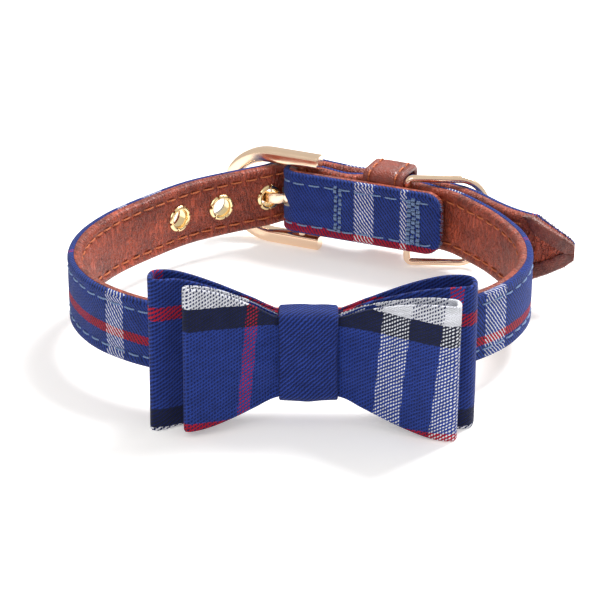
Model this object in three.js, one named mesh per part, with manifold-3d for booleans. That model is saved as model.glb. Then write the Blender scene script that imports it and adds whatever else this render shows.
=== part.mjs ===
// Pet bow tie collar: a cloth-covered leather strap buckled into a loop, with a bow sewn on its front.
// Millimetres, +Z up, the loop standing on its edge, the bow facing -Y and the buckle at the back.
import * as THREE from "three";
import { mergeVertices } from "three/addons/utils/BufferGeometryUtils.js";
import Module from "manifold-3d";

const wasm = await Module();
wasm.setup();

// Strap
const LOOP_WIDTH = 100.2;
const LOOP_DEPTH = 87.4;
const STRAP_WIDTH = 15;
const COVER_THICK = 1.1;
const LINING_THICK = 1.6;
const SEAT_GAP = 0.3; // between pieces that touch
const STRAP_THICK = COVER_THICK + SEAT_GAP + LINING_THICK;
const BACK_RISE = 5.1; // strap's lower edge above the surface, at the buckle
const FRONT_RISE = 7.3; // the same, behind the bow
const FOLD_LENGTH = 36.5; // folded end, measured from the buckle's bar
const FOLD_ANGLE = 24.5; // degrees that the fold's line turns towards the front, going right
const FOLD_CORNER = 4;
const TIP_LENGTH = 8.5;
const TIP_BLUNT = 3;

// Eyelets
const EYELET_PITCH = 12.7;
const EYELET_BORE = 4;
const EYELET_WALL = 0.4;
const EYELET_FLANGE = 6.4;
const EYELET_RIM = 0.6;
const EYELET_SIDES = 18;
const EYELET_NUMBERS = [1, 2, 3];
const TONGUE_EYELET = 3;

// Buckle
const BUCKLE_HEIGHT = 24;
const BUCKLE_ARM = 3.5;
const BUCKLE_DEPTH = 3.6;
const BUCKLE_ARC = 12.8; // how far the rounded end reaches past the straight arms
const BUCKLE_STRAIGHT = 12.35; // straight length of the arms
const HEEL = 4.4; // from the bar's middle to the ends of the arms
const BAR_DIAMETER = 2.4;
const TONGUE_WIDTH = 2.6;
const TONGUE_THICK = 1.4;
const TONGUE_PLAY = 0.25;
const SLOT_HEIGHT = 3.8;

// Keeper and ring
const KEEPER_WIDTH = 10.1;
const KEEPER_THICK = 1.5;
const KEEPER_PLAY = 0.6; // above and below the strap
const KEEPER_MIDDLE = 0.56; // share of the fold's length
const KEEPER_CORNER = 2.6;
const RING_WIRE = 1.7;
const RING_HEIGHT = 22.6;
const RING_STRAIGHT = 12; // straight length of its sides, from the bar's middle
const RING_ARC = 8; // how far the rounded end reaches past them
const RING_START = 0.735; // share of the fold's length
const RING_ANGLE = 3; // degrees towards the front, going right
const RING_CORNER = 2;
const RING_DROP = 1.3; // ring's middle below the strap's

// Bow
const BOW_CLOTH = 1;
const BACK_BOW_REACH = { left: 32.4, right: 33.8 }; // from the knot's middle to the loop's ends
const FRONT_BOW_REACH = { left: 25.2, right: 30 };
const BOW_HEIGHT = 31.4;
const BACK_BOW_FOOT = { left: 0, right: 0 }; // lower edge above the surface, at the loops' ends
const FRONT_BOW_FOOT = { left: 1.2, right: 0 };
const KNOT_LEAN = 0.06; // how far the foot stands forward, for each millimetre of height
const BACK_BOW_LEAN = { left: 0.18, right: 0.04 }; // the same, at the loops' ends
const FRONT_BOW_LEAN = { left: 0.12, right: -0.11 };
const KNOT_WIDTH = 12;
const KNOT_HEIGHT = 19;
const KNOT_FOOT = 5.8; // knot's lower edge above the surface
const KNOT_CORNER = 2.2;
const BOW_SHIFT = 1.4; // knot's middle, right of the loop's middle

const radians = THREE.MathUtils.degToRad;
const UP = new THREE.Vector3(0, 0, 1);

// Solids

const plan = (x, y) => new THREE.Vector3(x, y, 0);

function solid(geometry) {
  const bare = new THREE.BufferGeometry().setAttribute("position", geometry.getAttribute("position"));
  if (geometry.index) bare.setIndex(geometry.index);
  const merged = mergeVertices(bare, 1e-4);
  const made = new wasm.Manifold(new wasm.Mesh({
    numProp: 3,
    vertProperties: merged.attributes.position.array,
    triVerts: new Uint32Array(merged.index.array),
  }));
  return made;
}

function geometryOf(manifold) {
  const mesh = manifold.getMesh();
  const positions = new Float32Array(mesh.numVert * 3);
  for (let i = 0; i < mesh.numVert; i++) {
    positions.set(mesh.vertProperties.subarray(i * mesh.numProp, i * mesh.numProp + 3), i * 3);
  }
  const geometry = new THREE.BufferGeometry();
  geometry.setAttribute("position", new THREE.BufferAttribute(positions, 3));
  geometry.setIndex(new THREE.BufferAttribute(mesh.triVerts, 1));
  geometry.computeVertexNormals();
  return geometry;
}

function shapeOf(points, holes = []) {
  const shape = new THREE.Shape(points.map((p) => new THREE.Vector2(p.x, p.y)));
  holes.forEach((hole) => shape.holes.push(new THREE.Path(hole.map((p) => new THREE.Vector2(p.x, p.y)))));
  return shape;
}

// A flat shape made thick, evenly about its own plane, with an optional rounded edge.
function plate(shape, thick, edge = 0, segments = 8, steps = 1) {
  const made = new THREE.ExtrudeGeometry(shape, {
    depth: thick - 2 * edge,
    steps,
    curveSegments: segments,
    bevelEnabled: edge > 0,
    bevelThickness: edge,
    bevelSize: edge,
    bevelOffset: -edge,
    bevelSegments: 2,
  });
  return made.translate(0, 0, edge - thick / 2);
}

function roundedRectangle(x0, y0, x1, y1, corner) {
  const shape = new THREE.Shape();
  shape.moveTo(x0 + corner, y0);
  shape.lineTo(x1 - corner, y0);
  shape.absarc(x1 - corner, y0 + corner, corner, -Math.PI / 2, 0);
  shape.lineTo(x1, y1 - corner);
  shape.absarc(x1 - corner, y1 - corner, corner, 0, Math.PI / 2);
  shape.lineTo(x0 + corner, y1);
  shape.absarc(x0 + corner, y1 - corner, corner, Math.PI / 2, Math.PI);
  shape.lineTo(x0, y0 + corner);
  shape.absarc(x0 + corner, y0 + corner, corner, Math.PI, 1.5 * Math.PI);
  return shape;
}

// The fold's own frame: along its line, out from the loop, and up

const foldAlong = plan(Math.cos(radians(FOLD_ANGLE)), -Math.sin(radians(FOLD_ANGLE)));
const foldOut = plan(Math.sin(radians(FOLD_ANGLE)), Math.cos(radians(FOLD_ANGLE)));
const BEND_RADIUS = BAR_DIAMETER / 2 + SEAT_GAP + STRAP_THICK;
const BAR_ALONG = -0.018 * LOOP_DEPTH; // bar's place on the fold's line
const FOLD_BACK = 0.82; // fold's place, as a share of half the loop's depth
const foldStart = plan(0, (FOLD_BACK * LOOP_DEPTH) / 2).addScaledVector(foldAlong, BAR_ALONG);

// A point by its distance from the bar along the fold, and from the fold's cloth face outwards.
function atFold(along, out) {
  return foldStart.clone().addScaledVector(foldAlong, along).addScaledVector(foldOut, out);
}

const barCentre = atFold(0, BEND_RADIUS);

// Strap route: the cloth's outer face in plan, from the folded end to the pointed tip

// Lengths are shares of the fold's length along, and of the strap's thickness out.
const MAIN_NEAR_BAR = [
  { along: 0.15, out: 2.55 },
  { along: 0.3, out: 2.2 },
];
const MAIN_PAST_FOLD = [
  { along: 0.91, out: 2.36 },
  { along: 1, out: 2.2 },
  { along: 1.1, out: 1.74 },
  { along: 1.27, out: 0.45 },
];
const BILLET_NEAR_BAR = [
  { along: 0.16, out: 3.95 },
  { along: 0.3, out: 3.76 },
];
const BILLET_PAST_KEEPER = [
  { along: 0.8, out: 3.96 },
  { along: 0.91, out: 3.64 },
  { along: 1, out: 3.4 },
  { along: 1.1, out: 3.04 },
  { along: 1.25, out: 2.04 },
  { along: 1.38, out: 1.05 },
  { along: 1.52, out: 0.24 },
  { along: 1.66, out: -0.14 },
  { along: 1.77, out: -0.08 },
  { along: 1.88, out: 0.3 },
];

// Lengths are shares of half the loop's width across, and of half its depth back.
const LOOP_ROWS = [
  { across: 0.895, back: 0.28 },
  { across: 0.985, back: -0.02 },
  { across: 0.985, back: -0.35 },
  { across: 0.885, back: -0.62 },
  { across: 0.73, back: -0.81 },
  { across: 0.54, back: -0.94 },
  { across: 0.34, back: -0.985 },
  { across: 0.02, back: -0.985 },
  { across: -0.3, back: -0.99 },
  { across: -0.5, back: -0.95 },
  { across: -0.71, back: -0.83 },
  { across: -0.89, back: -0.63 },
  { across: -0.995, back: -0.35 },
  { across: -0.99, back: -0.04 },
  { across: -0.89, back: 0.25 },
  { across: -0.73, back: 0.5 },
  { across: -0.53, back: 0.745 },
  { across: -0.275, back: 0.93 },
];

const byFold = (row) => atFold(row.along * FOLD_LENGTH, row.out * STRAP_THICK);
const byLoop = (row) => plan((row.across * LOOP_WIDTH) / 2, (row.back * LOOP_DEPTH) / 2);

const keeperInner = STRAP_THICK + SEAT_GAP; // keeper's inner leg lies on the folded leather
const mainAtKeeper = keeperInner + KEEPER_THICK + SEAT_GAP + STRAP_THICK;
const billetAtKeeper = mainAtKeeper + SEAT_GAP + STRAP_THICK;
const keeperMiddle = KEEPER_MIDDLE * FOLD_LENGTH;
const keeperEnds = [keeperMiddle - KEEPER_WIDTH / 2, keeperMiddle + KEEPER_WIDTH / 2];
const ringAlong = RING_START * FOLD_LENGTH;
const mainAtRing = STRAP_THICK + SEAT_GAP + RING_WIRE + SEAT_GAP + STRAP_THICK;

// The billet passes round the outside of the bend, in shares of a turn about the bar.
function roundBar(radius, degrees) {
  const turn = radians(degrees);
  return barCentre.clone().add(plan(radius * Math.cos(turn), radius * Math.sin(turn)));
}

const BILLET_RADIUS = BEND_RADIUS + SEAT_GAP + STRAP_THICK;
const EYELET_RADIUS = BILLET_RADIUS + 0.75 * STRAP_THICK;
const EYELET_TURN = 165; // degrees round the bar, from +X
const tongueEyelet = roundBar(EYELET_RADIUS, EYELET_TURN);

const BEND_STEPS = 10;
const BEND_FROM = -90 - FOLD_ANGLE;
const CURVE_STEPS = 3;

const bend = Array.from({ length: BEND_STEPS + 1 }, (_, i) =>
  roundBar(BEND_RADIUS, BEND_FROM - (180 * i) / BEND_STEPS));

const afterBend = [
  bend[BEND_STEPS],
  ...MAIN_NEAR_BAR.map(byFold),
  atFold(keeperEnds[0], mainAtKeeper + SEAT_GAP / 3),
  atFold(keeperEnds[1], mainAtKeeper + SEAT_GAP),
  atFold(ringAlong + RING_WIRE, mainAtRing),
  ...MAIN_PAST_FOLD.map(byFold),
  ...LOOP_ROWS.map(byLoop),
  tongueEyelet,
  roundBar(BILLET_RADIUS + SEAT_GAP, 138),
  roundBar(BILLET_RADIUS + SEAT_GAP, 103),
  roundBar(BILLET_RADIUS + SEAT_GAP, 72),
  ...BILLET_NEAR_BAR.map(byFold),
  atFold(keeperEnds[0], billetAtKeeper + 2 * SEAT_GAP / 3),
  atFold(keeperEnds[1], billetAtKeeper + SEAT_GAP / 2),
  ...BILLET_PAST_KEEPER.map(byFold),
];

const loopCurve = new THREE.CatmullRomCurve3(afterBend, false, "centripetal");
const route = [
  atFold(FOLD_LENGTH, 0),
  atFold(FOLD_LENGTH * 0.66, 0),
  atFold(FOLD_LENGTH * 0.33, 0),
  ...bend,
  ...loopCurve.getPoints(CURVE_STEPS * (afterBend.length - 1)).slice(1),
];

const lengths = [0];
route.slice(1).forEach((p, i) => lengths.push(lengths[i] + p.distanceTo(route[i])));

function leftOf(i) {
  const from = route[Math.max(i - 1, 0)];
  const to = route[Math.min(i + 1, route.length - 1)];
  const run = to.clone().sub(from).normalize();
  return plan(-run.y, run.x);
}

// Place on the route at a length from its start: the point, the way on and the way out of the cloth.
function onRoute(length) {
  let i = 1;
  while (i < route.length - 1 && lengths[i] < length) i += 1;
  const share = (length - lengths[i - 1]) / (lengths[i] - lengths[i - 1]);
  const point = route[i - 1].clone().lerp(route[i], share);
  const out = leftOf(i - 1).lerp(leftOf(i), share).normalize();
  return { point, out, on: plan(out.y, -out.x) };
}

const RISE_SLOPE = (FRONT_RISE - BACK_RISE) / LOOP_DEPTH;
const lowerEdge = (y) => BACK_RISE + RISE_SLOPE * (LOOP_DEPTH / 2 - y);
const midHeight = (y) => lowerEdge(y) + STRAP_WIDTH / 2;

// One layer of the strap, between two depths behind the cloth's outer face: a long box bent along
// the route.
function strapLayer(near, far) {
  const steps = route.length - 1;
  const box = new THREE.BoxGeometry(steps, 1, STRAP_WIDTH, steps, 1, 1);
  const position = box.getAttribute("position");
  for (let v = 0; v < position.count; v++) {
    const i = Math.round(position.getX(v) + steps / 2);
    const depth = position.getY(v) > 0 ? near : far;
    const point = route[i].clone().addScaledVector(leftOf(i), -depth);
    position.setXYZ(v, point.x, point.y, midHeight(point.y) + position.getZ(v));
  }
  return solid(box);
}

// Frame on the strap: x on along it, y up, z from the cloth into the leather.
function strapFrame(place, depth = 0) {
  const frame = new THREE.Matrix4().makeBasis(place.on, UP, place.on.clone().cross(UP));
  const point = place.point.clone().addScaledVector(place.out, -depth);
  return frame.setPosition(point.x, point.y, midHeight(point.y));
}

const CUT_DEPTH = 2 * STRAP_THICK; // short, so that it stays clear of the strap's next turn

function pointedTipCut() {
  const half = STRAP_WIDTH / 2;
  const end = strapFrame(onRoute(lengths[lengths.length - 1]), STRAP_THICK / 2);
  const beyond = 2 * TIP_BLUNT;
  const cut = (side) => {
    const points = [
      plan(-TIP_LENGTH, side * half),
      plan(0, (side * TIP_BLUNT) / 2),
      plan(beyond, (side * TIP_BLUNT) / 2),
      plan(beyond, side * (half + beyond)),
      plan(-TIP_LENGTH, side * (half + beyond)),
    ];
    return solid(plate(shapeOf(side > 0 ? points : points.reverse()), CUT_DEPTH).applyMatrix4(end));
  };
  return cut(1).add(cut(-1));
}

function foldCornerCut() {
  const end = strapFrame(onRoute(0), STRAP_THICK / 2);
  const half = STRAP_WIDTH / 2;
  const cut = (side) => {
    const points = [
      plan(-1, side * (half - FOLD_CORNER)),
      plan(0, side * (half - FOLD_CORNER)),
      plan(0.3 * FOLD_CORNER, side * (half - 0.3 * FOLD_CORNER)),
      plan(FOLD_CORNER, side * half),
      plan(FOLD_CORNER, side * (half + 2)),
      plan(-1, side * (half + 2)),
    ];
    return solid(plate(shapeOf(side < 0 ? points : points.reverse()), CUT_DEPTH).applyMatrix4(end));
  };
  return cut(1).add(cut(-1));
}

// The slot that lets the tongue turn on the bar through the bent strap.
function tongueSlotCut() {
  const middle = barCentre.clone().setZ(midHeight(barCentre.y));
  const frame = new THREE.Matrix4().makeBasis(foldAlong, foldOut, UP).setPosition(middle);
  const reach = BEND_RADIUS + SEAT_GAP / 2;
  const disc = new THREE.CylinderGeometry(reach, reach, SLOT_HEIGHT, 32).rotateX(Math.PI / 2);
  const end = BAR_DIAMETER / 2 + TONGUE_PLAY + TONGUE_THICK + SEAT_GAP;
  const stop = new THREE.BoxGeometry(2 * reach, 3 * reach, 2 * SLOT_HEIGHT).translate(end + reach, 0, 0);
  return solid(disc.applyMatrix4(frame)).subtract(solid(stop.applyMatrix4(frame)));
}

const eyeletBase = lengths[route.reduce((best, p, i) =>
  (p.distanceTo(tongueEyelet) < route[best].distanceTo(tongueEyelet) ? i : best), 0)];
const eyeletPlace = (number) => onRoute(eyeletBase + (number - TONGUE_EYELET) * EYELET_PITCH);
const eyeletBarrel = EYELET_BORE / 2 + EYELET_WALL;

function eyeletHoleCut(number) {
  const hole = new THREE.CylinderGeometry(
    eyeletBarrel + SEAT_GAP, eyeletBarrel + SEAT_GAP, CUT_DEPTH, EYELET_SIDES).rotateX(Math.PI / 2);
  return solid(hole.applyMatrix4(strapFrame(eyeletPlace(number), STRAP_THICK / 2)));
}

const cuts = [pointedTipCut(), foldCornerCut(), tongueSlotCut(), ...EYELET_NUMBERS.map(eyeletHoleCut)];
const cutAll = (layer) => cuts.reduce((whole, cut) => whole.subtract(cut), layer);

const strapCover = () => cutAll(strapLayer(0, COVER_THICK));
const strapLining = () => cutAll(strapLayer(COVER_THICK + SEAT_GAP, STRAP_THICK));

// Eyelet: a barrel with a washer on the cloth and a spread rim on the leather.
function eyelet(number) {
  const bore = EYELET_BORE / 2;
  const rim = EYELET_FLANGE / 2;
  const cloth = SEAT_GAP;
  const leather = -STRAP_THICK - SEAT_GAP;
  const profile = [
    [bore, leather - 0.4 * EYELET_RIM],
    [bore + 0.45 * (rim - bore), leather - EYELET_RIM],
    [rim, leather - 0.5 * EYELET_RIM],
    [rim, leather],
    [eyeletBarrel, leather],
    [eyeletBarrel, cloth],
    [rim, cloth],
    [rim, cloth + 0.5 * EYELET_RIM],
    [bore + 0.4 * (rim - bore), cloth + EYELET_RIM],
    [bore, cloth + 0.5 * EYELET_RIM],
    [bore, leather - 0.4 * EYELET_RIM],
  ];
  const lathe = new THREE.LatheGeometry(profile.map(([r, h]) => new THREE.Vector2(r, h)), EYELET_SIDES);
  const frame = strapFrame(eyeletPlace(number));
  return solid(lathe.rotateX(-Math.PI / 2).applyMatrix4(frame));
}

// Buckle: a rounded frame open at its heel, with a bar across that the strap turns round.
const buckleFrame = new THREE.Matrix4()
  .makeBasis(foldAlong, UP, foldOut.clone().negate())
  .setPosition(barCentre.x, barCentre.y, BUCKLE_HEIGHT / 2);

function buckleOutline(inset, heel) {
  const shape = new THREE.Shape();
  const half = BUCKLE_HEIGHT / 2 - inset;
  const bow = HEEL - BUCKLE_STRAIGHT;
  shape.moveTo(heel, -half);
  shape.lineTo(heel, half);
  shape.lineTo(bow, half);
  shape.absellipse(bow, 0, BUCKLE_ARC - inset, half, Math.PI / 2, 1.5 * Math.PI);
  return shape;
}

function buckle() {
  const edge = 0.8;
  const beyond = 5 * BUCKLE_ARM;
  const outer = solid(plate(buckleOutline(0, HEEL), BUCKLE_DEPTH, edge, 14).applyMatrix4(buckleFrame));
  const window = solid(plate(buckleOutline(BUCKLE_ARM, beyond), 2 * BUCKLE_DEPTH, 0, 14)
    .applyMatrix4(buckleFrame));
  const bar = new THREE.CylinderGeometry(
    BAR_DIAMETER / 2, BAR_DIAMETER / 2, BUCKLE_HEIGHT - BUCKLE_ARM, 16).applyMatrix4(buckleFrame);
  return outer.subtract(window).add(solid(bar));
}

// Tongue: a loop round the bar, then a flat prong through the eyelet to the frame's far end.
function tongue() {
  const hold = eyeletPlace(TONGUE_EYELET);
  const inner = BAR_DIAMETER / 2 + TONGUE_PLAY;
  const half = TONGUE_THICK / 2;
  const through = (out, on) => hold.point.clone().addScaledVector(hold.out, out).addScaledVector(hold.on, on);
  const restAlong = HEEL - BUCKLE_STRAIGHT - BUCKLE_ARC + BUCKLE_ARM / 2;
  const restOut = BEND_RADIUS + BUCKLE_DEPTH / 2 + SEAT_GAP + half;
  const rows = [
    roundBar(inner + half, 200),
    through(-STRAP_THICK - SEAT_GAP - EYELET_RIM - 2.2 * half, EYELET_FLANGE / 2),
    through(-STRAP_THICK - EYELET_RIM - half, 0.2 * EYELET_BORE),
    through(half, -0.15 * EYELET_BORE),
    atFold(restAlong + 1.9 * BUCKLE_ARM, restOut - 0.2 * BUCKLE_ARM),
    atFold(restAlong, restOut),
    atFold(restAlong - 0.6 * BUCKLE_ARM, restOut + 0.1),
  ];
  const path = new THREE.CatmullRomCurve3(rows, false, "centripetal").getPoints(3 * (rows.length - 1));
  const side = (sign) => path.map((p, i) => {
    const on = path[Math.min(i + 1, path.length - 1)].clone().sub(path[Math.max(i - 1, 0)]).normalize();
    return p.clone().addScaledVector(plan(-on.y, on.x), sign * half);
  });
  const prong = plate(shapeOf([...side(1), ...side(-1).reverse()].reverse()), TONGUE_WIDTH);
  const eye = new THREE.CylinderGeometry(inner + TONGUE_THICK, inner + TONGUE_THICK, TONGUE_WIDTH, 20);
  const bore = new THREE.CylinderGeometry(inner, inner, 2 * TONGUE_WIDTH, 20);
  const seat = new THREE.Matrix4().makeRotationX(Math.PI / 2);
  const at = new THREE.Matrix4().makeTranslation(barCentre.x, barCentre.y, 0);
  const place = at.multiply(seat);
  const whole = solid(prong).add(solid(eye.applyMatrix4(place))).subtract(solid(bore.applyMatrix4(place)));
  return whole.translate([0, 0, midHeight(barCentre.y)]);
}

// Keeper: a leather loop held in the fold, round the strap and the billet.
function keeper() {
  const outer = billetAtKeeper + SEAT_GAP + 2 * SEAT_GAP;
  const low = -STRAP_WIDTH / 2 - KEEPER_PLAY;
  const high = STRAP_WIDTH / 2 + KEEPER_PLAY;
  const skin = roundedRectangle(
    keeperInner, low - KEEPER_THICK, outer + KEEPER_THICK, high + KEEPER_THICK, KEEPER_CORNER);
  const hollow = roundedRectangle(keeperInner + KEEPER_THICK, low, outer, high, KEEPER_CORNER - KEEPER_THICK);
  const segments = 5;
  skin.holes.push(new THREE.Path(hollow.getPoints(segments)));
  const centre = atFold(keeperMiddle, 0);
  const frame = new THREE.Matrix4().makeBasis(foldOut, UP, foldAlong)
    .setPosition(centre.x, centre.y, midHeight(centre.y));
  const geometry = plate(skin, KEEPER_WIDTH, 0, segments);
  return solid(geometry.applyMatrix4(frame));
}

// Ring: a D of round wire, its straight side held in the fold.
function ringOutline(inset) {
  const half = RING_HEIGHT / 2 - inset;
  const left = inset - RING_WIRE / 2;
  const corner = RING_CORNER - inset;
  const shape = new THREE.Shape();
  shape.moveTo(left + corner, -half);
  shape.lineTo(RING_STRAIGHT, -half);
  shape.absellipse(RING_STRAIGHT, 0, RING_ARC - inset, half, -Math.PI / 2, Math.PI / 2);
  shape.lineTo(left + corner, half);
  shape.absarc(left + corner, half - corner, corner, Math.PI / 2, Math.PI);
  shape.lineTo(left, -half + corner);
  shape.absarc(left + corner, -half + corner, corner, Math.PI, 1.5 * Math.PI);
  return shape;
}

function ring() {
  const shape = ringOutline(0);
  const segments = 8;
  shape.holes.push(new THREE.Path(ringOutline(RING_WIRE).getPoints(segments)));
  const along = plan(Math.cos(radians(RING_ANGLE)), -Math.sin(radians(RING_ANGLE)));
  const seat = atFold(ringAlong, STRAP_THICK + SEAT_GAP + RING_WIRE / 2);
  const frame = new THREE.Matrix4().makeBasis(along, UP, along.clone().cross(UP))
    .setPosition(seat.x, seat.y, midHeight(seat.y) - RING_DROP);
  return solid(plate(shape, RING_WIRE, RING_WIRE * 0.3, segments).applyMatrix4(frame));
}

// Bow

const KNOT_FACE = -0.985 * (LOOP_DEPTH / 2) - 2 * SEAT_GAP; // knot's back, on the strap's cloth
const WALL_STEP = BOW_CLOTH + SEAT_GAP;

// Middle of each cloth wall inside the knot, counted from the back.
const wallPlace = (number) => KNOT_FACE - BOW_CLOTH - SEAT_GAP - BOW_CLOTH / 2 - number * WALL_STEP;

// Sections of one half of a bow loop: out as a share of the way from the knot to the end, and how
// far each wall stands off its place in the knot, as a share of the knot's height. Minus is forward.
const BACK_BOW_LEFT = [
  { out: 0, front: 0, back: 0 },
  { out: 0.21, front: 0, back: 0.02 },
  { out: 0.53, front: -0.01, back: 0.06 },
  { out: 0.78, front: -0.035, back: 0.1 },
  { out: 0.89, front: -0.1, back: 0.09 },
  { out: 0.96, front: -0.1, back: 0.05 },
];
const BACK_BOW_RIGHT = [
  { out: 0, front: 0, back: 0 },
  { out: 0.21, front: -0.03, back: 0 },
  { out: 0.53, front: -0.14, back: 0.02 },
  { out: 0.82, front: -0.23, back: 0.02 },
  { out: 0.95, front: -0.2, back: -0.03 },
];
const FRONT_BOW_LEFT = [
  { out: 0, front: 0, back: 0 },
  { out: 0.22, front: -0.03, back: -0.02 },
  { out: 0.51, front: -0.1, back: -0.09 },
  { out: 0.85, front: -0.18, back: -0.16 },
  { out: 0.96, front: -0.19, back: -0.18 },
];
const FRONT_BOW_RIGHT = [
  { out: 0, front: 0, back: 0 },
  { out: 0.22, front: -0.1, back: -0.06 },
  { out: 0.51, front: -0.29, back: -0.22 },
  { out: 0.85, front: -0.5, back: -0.39 },
  { out: 0.96, front: -0.52, back: -0.43 },
];

// How far the loop has spread from the knot's height to the bow's, by the share of the way out.
const SPREAD = [
  { out: 0, spread: 0 },
  { out: 0.08, spread: 0.2 },
  { out: 0.25, spread: 0.42 },
  { out: 0.5, spread: 0.73 },
  { out: 0.72, spread: 0.93 },
  { out: 0.86, spread: 1 },
  { out: 1, spread: 1 },
];

function spreadAt(share) {
  const i = Math.max(1, SPREAD.findIndex((row) => row.out >= share));
  const from = SPREAD[i - 1];
  const to = SPREAD[i];
  return THREE.MathUtils.lerp(from.spread, to.spread, (share - from.out) / (to.out - from.out));
}

const knotMiddle = KNOT_FOOT + KNOT_HEIGHT / 2;
const BOW_STEPS = 3;
const PINCH_HEIGHT = KNOT_HEIGHT - 2 * BOW_CLOTH - 2 * SEAT_GAP;

// The bow leans back about the strap's upper edge.
const leanPivot = FRONT_RISE + STRAP_WIDTH;
const leanAt = (z, lean) => lean * (z - leanPivot);

function bowLoop(left, right, reach, firstWall, foot, lean) {
  const reachOf = (side) => (side < 0 ? reach.left : reach.right);
  const middle = BOW_CLOTH / 2;
  const knotHalf = KNOT_WIDTH / 2 + SEAT_GAP;
  const across = (row, side) =>
    BOW_SHIFT + side * THREE.MathUtils.lerp(knotHalf, reachOf(side), row.out);
  const wall = (rows, side, number, share) =>
    rows.map((row) => plan(across(row, side), wallPlace(number) + share(row) * KNOT_HEIGHT));
  const backOf = (rows, side) => wall(rows, side, firstWall, (row) => row.back);
  const frontOf = (rows, side) => wall(rows, side, firstWall + 1, (row) => row.front);
  const endOf = (rows, side) => {
    const last = rows.length - 1;
    const centre = backOf(rows, side)[last].lerp(frontOf(rows, side)[last], 0.5);
    return plan(BOW_SHIFT + side * (reachOf(side) - middle), centre.y);
  };
  const ends = [
    ...backOf(right, 1),
    endOf(right, 1),
    ...frontOf(right, 1).reverse(),
    ...frontOf(left, -1),
    endOf(left, -1),
    ...backOf(left, -1).reverse(),
  ];
  const curve = new THREE.CatmullRomCurve3(ends, true, "centripetal");
  const line = curve.getPoints(BOW_STEPS * ends.length).slice(0, -1).reverse();
  const heights = (x) => {
    const side = x < BOW_SHIFT ? "left" : "right";
    const out = (Math.abs(x - BOW_SHIFT) - knotHalf) / (reach[side] - knotHalf);
    const share = THREE.MathUtils.clamp(out, 0, 1);
    const spread = spreadAt(share);
    return {
      low: THREE.MathUtils.lerp(knotMiddle - PINCH_HEIGHT / 2, foot[side], spread),
      high: THREE.MathUtils.lerp(knotMiddle + PINCH_HEIGHT / 2, BOW_HEIGHT, spread),
      lean: THREE.MathUtils.lerp(KNOT_LEAN, lean[side], share),
    };
  };
  return clothBand(line, BOW_CLOTH, heights);
}

// A closed band of cloth on edge along a line in plan, made from a ring of four sides.
function clothBand(line, thick, heights) {
  const ring = new THREE.TorusGeometry(2, 1, 4, line.length);
  const position = ring.getAttribute("position");
  const corners = [
    { side: 1, top: false },
    { side: 1, top: true },
    { side: -1, top: true },
    { side: -1, top: false },
  ];
  for (let v = 0; v < position.count; v++) {
    const i = v % (line.length + 1) % line.length;
    const corner = corners[Math.floor(v / (line.length + 1)) % corners.length];
    const from = line[(i + line.length - 1) % line.length];
    const to = line[(i + 1) % line.length];
    const on = to.clone().sub(from).normalize();
    const point = line[i].clone().addScaledVector(plan(on.y, -on.x), (corner.side * thick) / 2);
    const { low, high, lean } = heights(line[i].x);
    const z = corner.top ? high : low;
    position.setXYZ(v, point.x, point.y + leanAt(z, lean), z);
  }
  return solid(ring);
}

// Knot: a cloth band round the middle of both loops, seated on the strap.
function bowKnot() {
  const face = KNOT_FACE;
  const front = wallPlace(3) - BOW_CLOTH / 2 - SEAT_GAP - BOW_CLOTH;
  const low = KNOT_FOOT;
  const high = KNOT_FOOT + KNOT_HEIGHT;
  const skin = roundedRectangle(front, low, face, high, KNOT_CORNER);
  const hollow = roundedRectangle(
    front + BOW_CLOTH, low + BOW_CLOTH, face - BOW_CLOTH, high - BOW_CLOTH, 2 * SEAT_GAP);
  const segments = 4;
  skin.holes.push(new THREE.Path(hollow.getPoints(segments)));
  const geometry = plate(skin, KNOT_WIDTH, 0, segments);
  const frame = new THREE.Matrix4().makeBasis(plan(0, 1), UP, plan(1, 0)).setPosition(BOW_SHIFT, 0, 0);
  geometry.applyMatrix4(frame);
  const position = geometry.getAttribute("position");
  for (let i = 0; i < position.count; i++) {
    position.setY(i, position.getY(i) + leanAt(position.getZ(i), KNOT_LEAN));
  }
  return solid(geometry);
}

// Materials

const material = (color, roughness, metalness = 0) =>
  new THREE.MeshStandardMaterial({ color, roughness, metalness });

const CLOTH = { color: 0x2d4196, roughness: 0.85 };
const LEATHER = { color: 0x8a3d28, roughness: 0.5 };
const GOLD = { color: 0xe6c8a0, roughness: 0.25, metalness: 1 };
const finish = (of) => material(of.color, of.roughness, of.metalness);

const collar = new THREE.Group();

function piece(name, made, of) {
  const mesh = new THREE.Mesh(geometryOf(made), finish(of));
  mesh.name = name;
  collar.add(mesh);
}

piece("strap_cover", strapCover(), CLOTH);
piece("strap_lining", strapLining(), LEATHER);
EYELET_NUMBERS.forEach((number) => piece("eyelet_" + number, eyelet(number), GOLD));
piece("buckle_frame", buckle(), GOLD);
piece("buckle_tongue", tongue(), GOLD);
piece("keeper", keeper(), LEATHER);
piece("d_ring", ring(), GOLD);
const backLoop = bowLoop(
  BACK_BOW_LEFT, BACK_BOW_RIGHT, BACK_BOW_REACH, 0, BACK_BOW_FOOT, BACK_BOW_LEAN);
const frontLoop = bowLoop(
  FRONT_BOW_LEFT, FRONT_BOW_RIGHT, FRONT_BOW_REACH, 2, FRONT_BOW_FOOT, FRONT_BOW_LEAN);
piece("bow_back", backLoop, CLOTH);
piece("bow_front", frontLoop, CLOTH);
piece("bow_knot", bowKnot(), CLOTH);

// The origin is under the middle of the whole collar, on the surface.
const box = new THREE.Box3().setFromObject(collar);
const middle = box.getCenter(new THREE.Vector3());
collar.position.set(-middle.x, -middle.y, -box.min.z);

export default collar;
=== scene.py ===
"""Looks for a pet bow tie collar: plaid cloth over leather, pale gold metal and a bow of two loops.

Sizes are in millimetres in the loop's own frame and are turned into metres in the row frame
when a mesh is made. The loop's frame has the strap's route in plan and the bow facing -Y."""

import math

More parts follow.
